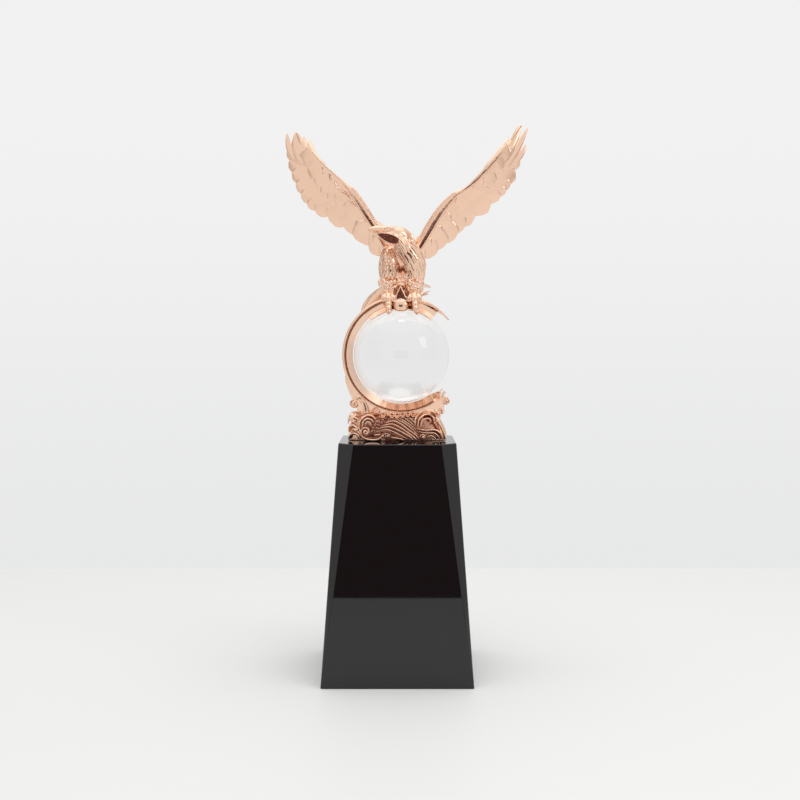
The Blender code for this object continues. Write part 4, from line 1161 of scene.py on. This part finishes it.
def lay(name, points, faces, facing, along, shape, material, node, spacing=0.001):
    """Lay small shapes over points or faces, turned by facing and along, as one plain mesh."""
    piece = mesh_piece(name, points, faces, material)
    for label, values in (("facing", facing), ("along", along)):
        layer = piece.data.attributes.new(label, "FLOAT_VECTOR", "POINT")
        for index, value in enumerate(values):
            layer.data[index].vector = value
    tree, gap = scatter_tree(shape, material, bool(faces))
    step = piece.modifiers.new("lay", "NODES")
    step.node_group = tree
    step[gap] = spacing
    mesh = evaluated_mesh(piece)
    piece.modifiers.clear()
    piece.data = mesh
    mesh.name = name
    mesh.shade_smooth()
    bpy.data.objects.remove(shape, do_unlink=True)
    stand_for(piece, node)
    return piece


SMALLEST_SCALED_ARM = 0.6


def arm_scales(material):
    """Rows of small scales along the outer strip of each wing's leading edge."""
    points, facing, along = [], [], []
    for shape in (LEFT_WING, RIGHT_WING):
        for row, (across, back) in enumerate(((0.45, -0.75), (1.15, -1.4))):
            for step in range(64):
                share = 0.03 + 0.93 * (step + 0.5 * row) / 64
                size = read_along(shape.arm_sizes, share)
                if size < SMALLEST_SCALED_ARM:
                    continue
                edge, inward = shape.lead(share), shape.inward(share)
                width = across * read_along(shape.strips, share)
                forward = Vector((0.0, back * size * UNIT, 0.0))
                points.append(edge + inward * width * size * UNIT + forward)
                facing.append(Vector((0.0, -0.75, 0.0)) - inward * 0.66)
                ahead = shape.lead(min(share + 0.02, 1.0)) - shape.lead(max(share - 0.02, 0.0))
                along.append(ahead.normalized())
    scale = small_scale("arm scale", 1.5 * UNIT, 1.1 * UNIT, 0.42 * UNIT)
    return lay("arm_scales", points, [], facing, along, scale, material, "eagle")


def thigh_down(material):
    """Small overlapping down feathers over the front of the near thigh."""
    points, faces, facing, along = [], [], [], []
    rows, columns = 14, 20
    wide, deep, tall = THIGH_SIZE
    for row in range(rows + 1):
        rise = math.pi * (0.10 + 0.72 * row / rows)
        for column in range(columns + 1):
            turn = math.pi * (1.0 + column / columns)
            out = Vector((math.sin(rise) * math.cos(turn), math.sin(rise) * math.sin(turn), math.cos(rise)))
            spot = Vector((wide * out.x, deep * out.y, tall * out.z)) * UNIT
            points.append(figure(*THIGH_PLACE) + spot)
            facing.append(out)
            along.append(Vector((0.15 * out.x, 0.0, -1.0)))
    for row in range(rows):
        for column in range(columns):
            low = row * (columns + 1) + column
            faces.append((low, low + 1, low + columns + 2, low + columns + 1))
    scale = small_scale("down feather", 2.8 * UNIT, 2.0 * UNIT, 0.05 * UNIT)
    return lay("thigh_down", points, faces, facing, along, scale, material, "eagle", 1.9 * UNIT)


def foam_beads(material):
    """Beads of spray strewn along the top of the wave, front and back."""
    points = []
    for side in (-1, 1):
        for step in range(34):
            x = -15.0 + 26.0 * step / 33
            z = 12.4 + 1.5 * math.sin(2.3 * step) + 0.9 * math.cos(0.9 * step)
            points.append(on_foot(x, z, -0.6, side))
    bead = mesh_piece("spray bead", *round_bead(0.00034), None)
    bead.data.shade_smooth()
    facing = [Vector((0.0, 0.0, 1.0))] * len(points)
    along = [Vector((0.0, 1.0, 0.0))] * len(points)
    return lay("foam_beads", points, [], facing, along, bead, material, "wave_crescent")


def round_bead(radius):
    carving = Carving()
    carving.blob(Vector((0.0, 0.0, 0.0)), (radius, 1.6 * radius, radius), 8)
    return carving.points, carving.faces


# Camera
CAMERA_PLACE = Vector((0.00139, -0.650, 0.18419))
CAMERA_PITCH = 86.828
CAMERA_LENS = 53.67

# Table
TABLE_HALF = 1.6
TABLE_FRONT = -0.62
TABLE_BACK = 0.281


def set_camera():
    data = bpy.data.cameras.new("camera")
    data.lens = CAMERA_LENS
    data.sensor_width = 36.0
    data.clip_start = 0.01
    data.clip_end = 50.0
    camera = bpy.data.objects.new("camera", data)
    bpy.context.scene.collection.objects.link(camera)
    camera.location = CAMERA_PLACE
    camera.rotation_euler = (math.radians(CAMERA_PITCH), 0.0, 0.0)
    bpy.context.scene.camera = camera


def area_light(name, place, target, size, power):
    data = bpy.data.lights.new(name, "AREA")
    data.shape = "RECTANGLE"
    data.size, data.size_y = size
    data.energy = power
    light = bpy.data.objects.new(name, data)
    bpy.context.scene.collection.objects.link(light)
    light.location = place
    light.rotation_euler = (Vector(target) - Vector(place)).to_track_quat("-Z", "Y").to_euler()
    return light


def set_stage():
    """A pale table whose front edge ends under the camera."""
    corners = [(-TABLE_HALF, TABLE_FRONT, 0.0), (TABLE_HALF, TABLE_FRONT, 0.0),
               (TABLE_HALF, TABLE_BACK, 0.0), (-TABLE_HALF, TABLE_BACK, 0.0)]
    table = mesh_piece("table", corners, [(0, 1, 2, 3)], pale_paper())


def set_world():
    """Pale all round to the camera; to the reflections, a white tent with a dark gap in front."""
    world = bpy.data.worlds.new("studio")
    world.use_nodes = True
    world.node_tree.nodes.clear()
    bpy.context.scene.world = world
    s = Shader(world.node_tree)
    ray = s.node("ShaderNodeTexCoord", output="Generated")
    ahead = s.node("ShaderNodeSeparateXYZ", sockets={0: ray}, output="Y")
    up = s.node("ShaderNodeSeparateXYZ", sockets={0: ray}, output="Z")
    side = s.node("ShaderNodeSeparateXYZ", sockets={0: ray}, output="X")
    facing = s.step(ahead, -0.5, -0.6)
    beside = s.step(side.math("ABSOLUTE"), 0.32, 0.22)
    over = s.step(up, 0.21, 0.16)
    under = s.step(up, -0.17, -0.12)
    through = s.node("ShaderNodeLightPath", output="Is Transmission Ray")
    gap = facing * beside * over * under * (1 - through)
    behind = s.step(ahead, -0.2, 0.3)
    walls = s.blend(behind, (0.87, 0.87, 0.86, 1.0), (0.79, 0.79, 0.79, 1.0))
    ends = s.step(side.math("ABSOLUTE"), 0.62, 0.84) * s.step(up.math("ABSOLUTE"), 0.62, 0.42)
    ends = ends * s.step(ahead, 0.35, 0.0)
    walls = s.blend(ends, walls, (0.58, 0.55, 0.53, 1.0))
    walls = s.blend(s.step(up, 0.66, 0.86), walls, (1.35, 1.34, 1.32, 1.0))
    walls = s.blend(s.step(up, -0.55, -0.75), walls, (0.30, 0.29, 0.28, 1.0))
    panel = s.node("ShaderNodeVectorMath", {"operation": "DOT_PRODUCT"},
                   {0: ray, 1: (0.03, 0.745, 0.667)}, "Value")
    walls = s.blend(s.step(panel, 0.965, 0.995), walls, (0.97, 0.97, 0.96, 1.0))
    tent = s.blend(gap, walls, (0.085, 0.020, 0.010, 1.0))
    backdrop = s.blend(s.step(up, -0.2, 0.18), (0.805, 0.81, 0.81, 1.0), (0.885, 0.885, 0.885, 1.0))
    seen = s.node("ShaderNodeLightPath", output="Is Camera Ray")
    colour = s.blend(seen, tent, backdrop)
    background = s.node("ShaderNodeBackground", sockets={"Color": colour, "Strength": 1.0})
    s.node("ShaderNodeOutputWorld", sockets={"Surface": background})


def set_lights():
    ceiling = area_light("ceiling softbox", (0.05, -0.15, 1.25), (0.0, 0.0, 0.20), (0.6, 0.6), 8.5)
    ceiling.visible_glossy = False
    ceiling.visible_transmission = False
    area_light("top lamp", (0.0, 0.0, 1.40), (0.0, 0.0, 0.20), (0.22, 0.10), 0.45)
    area_light("side softbox", (0.75, -0.45, 0.62), (0.0, 0.0, 0.18), (0.3, 0.4), 0.7)


def main():
    bpy.context.scene.view_settings.view_transform = "Standard"
    set_camera()
    set_stage()
    set_world()
    set_lights()
    crystal_ball()
    gold = rose_gold()
    crescent_band(gold)
    crescent_lips(gold)
    wave_foot(gold)
    eagle(gold)
    arm_scales(gold)
    thigh_down(gold)
    foam_beads(gold)
    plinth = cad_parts["plinth"]
    glass = black_glass()
    for slot in plinth.material_slots:
        slot.material = glass


main()
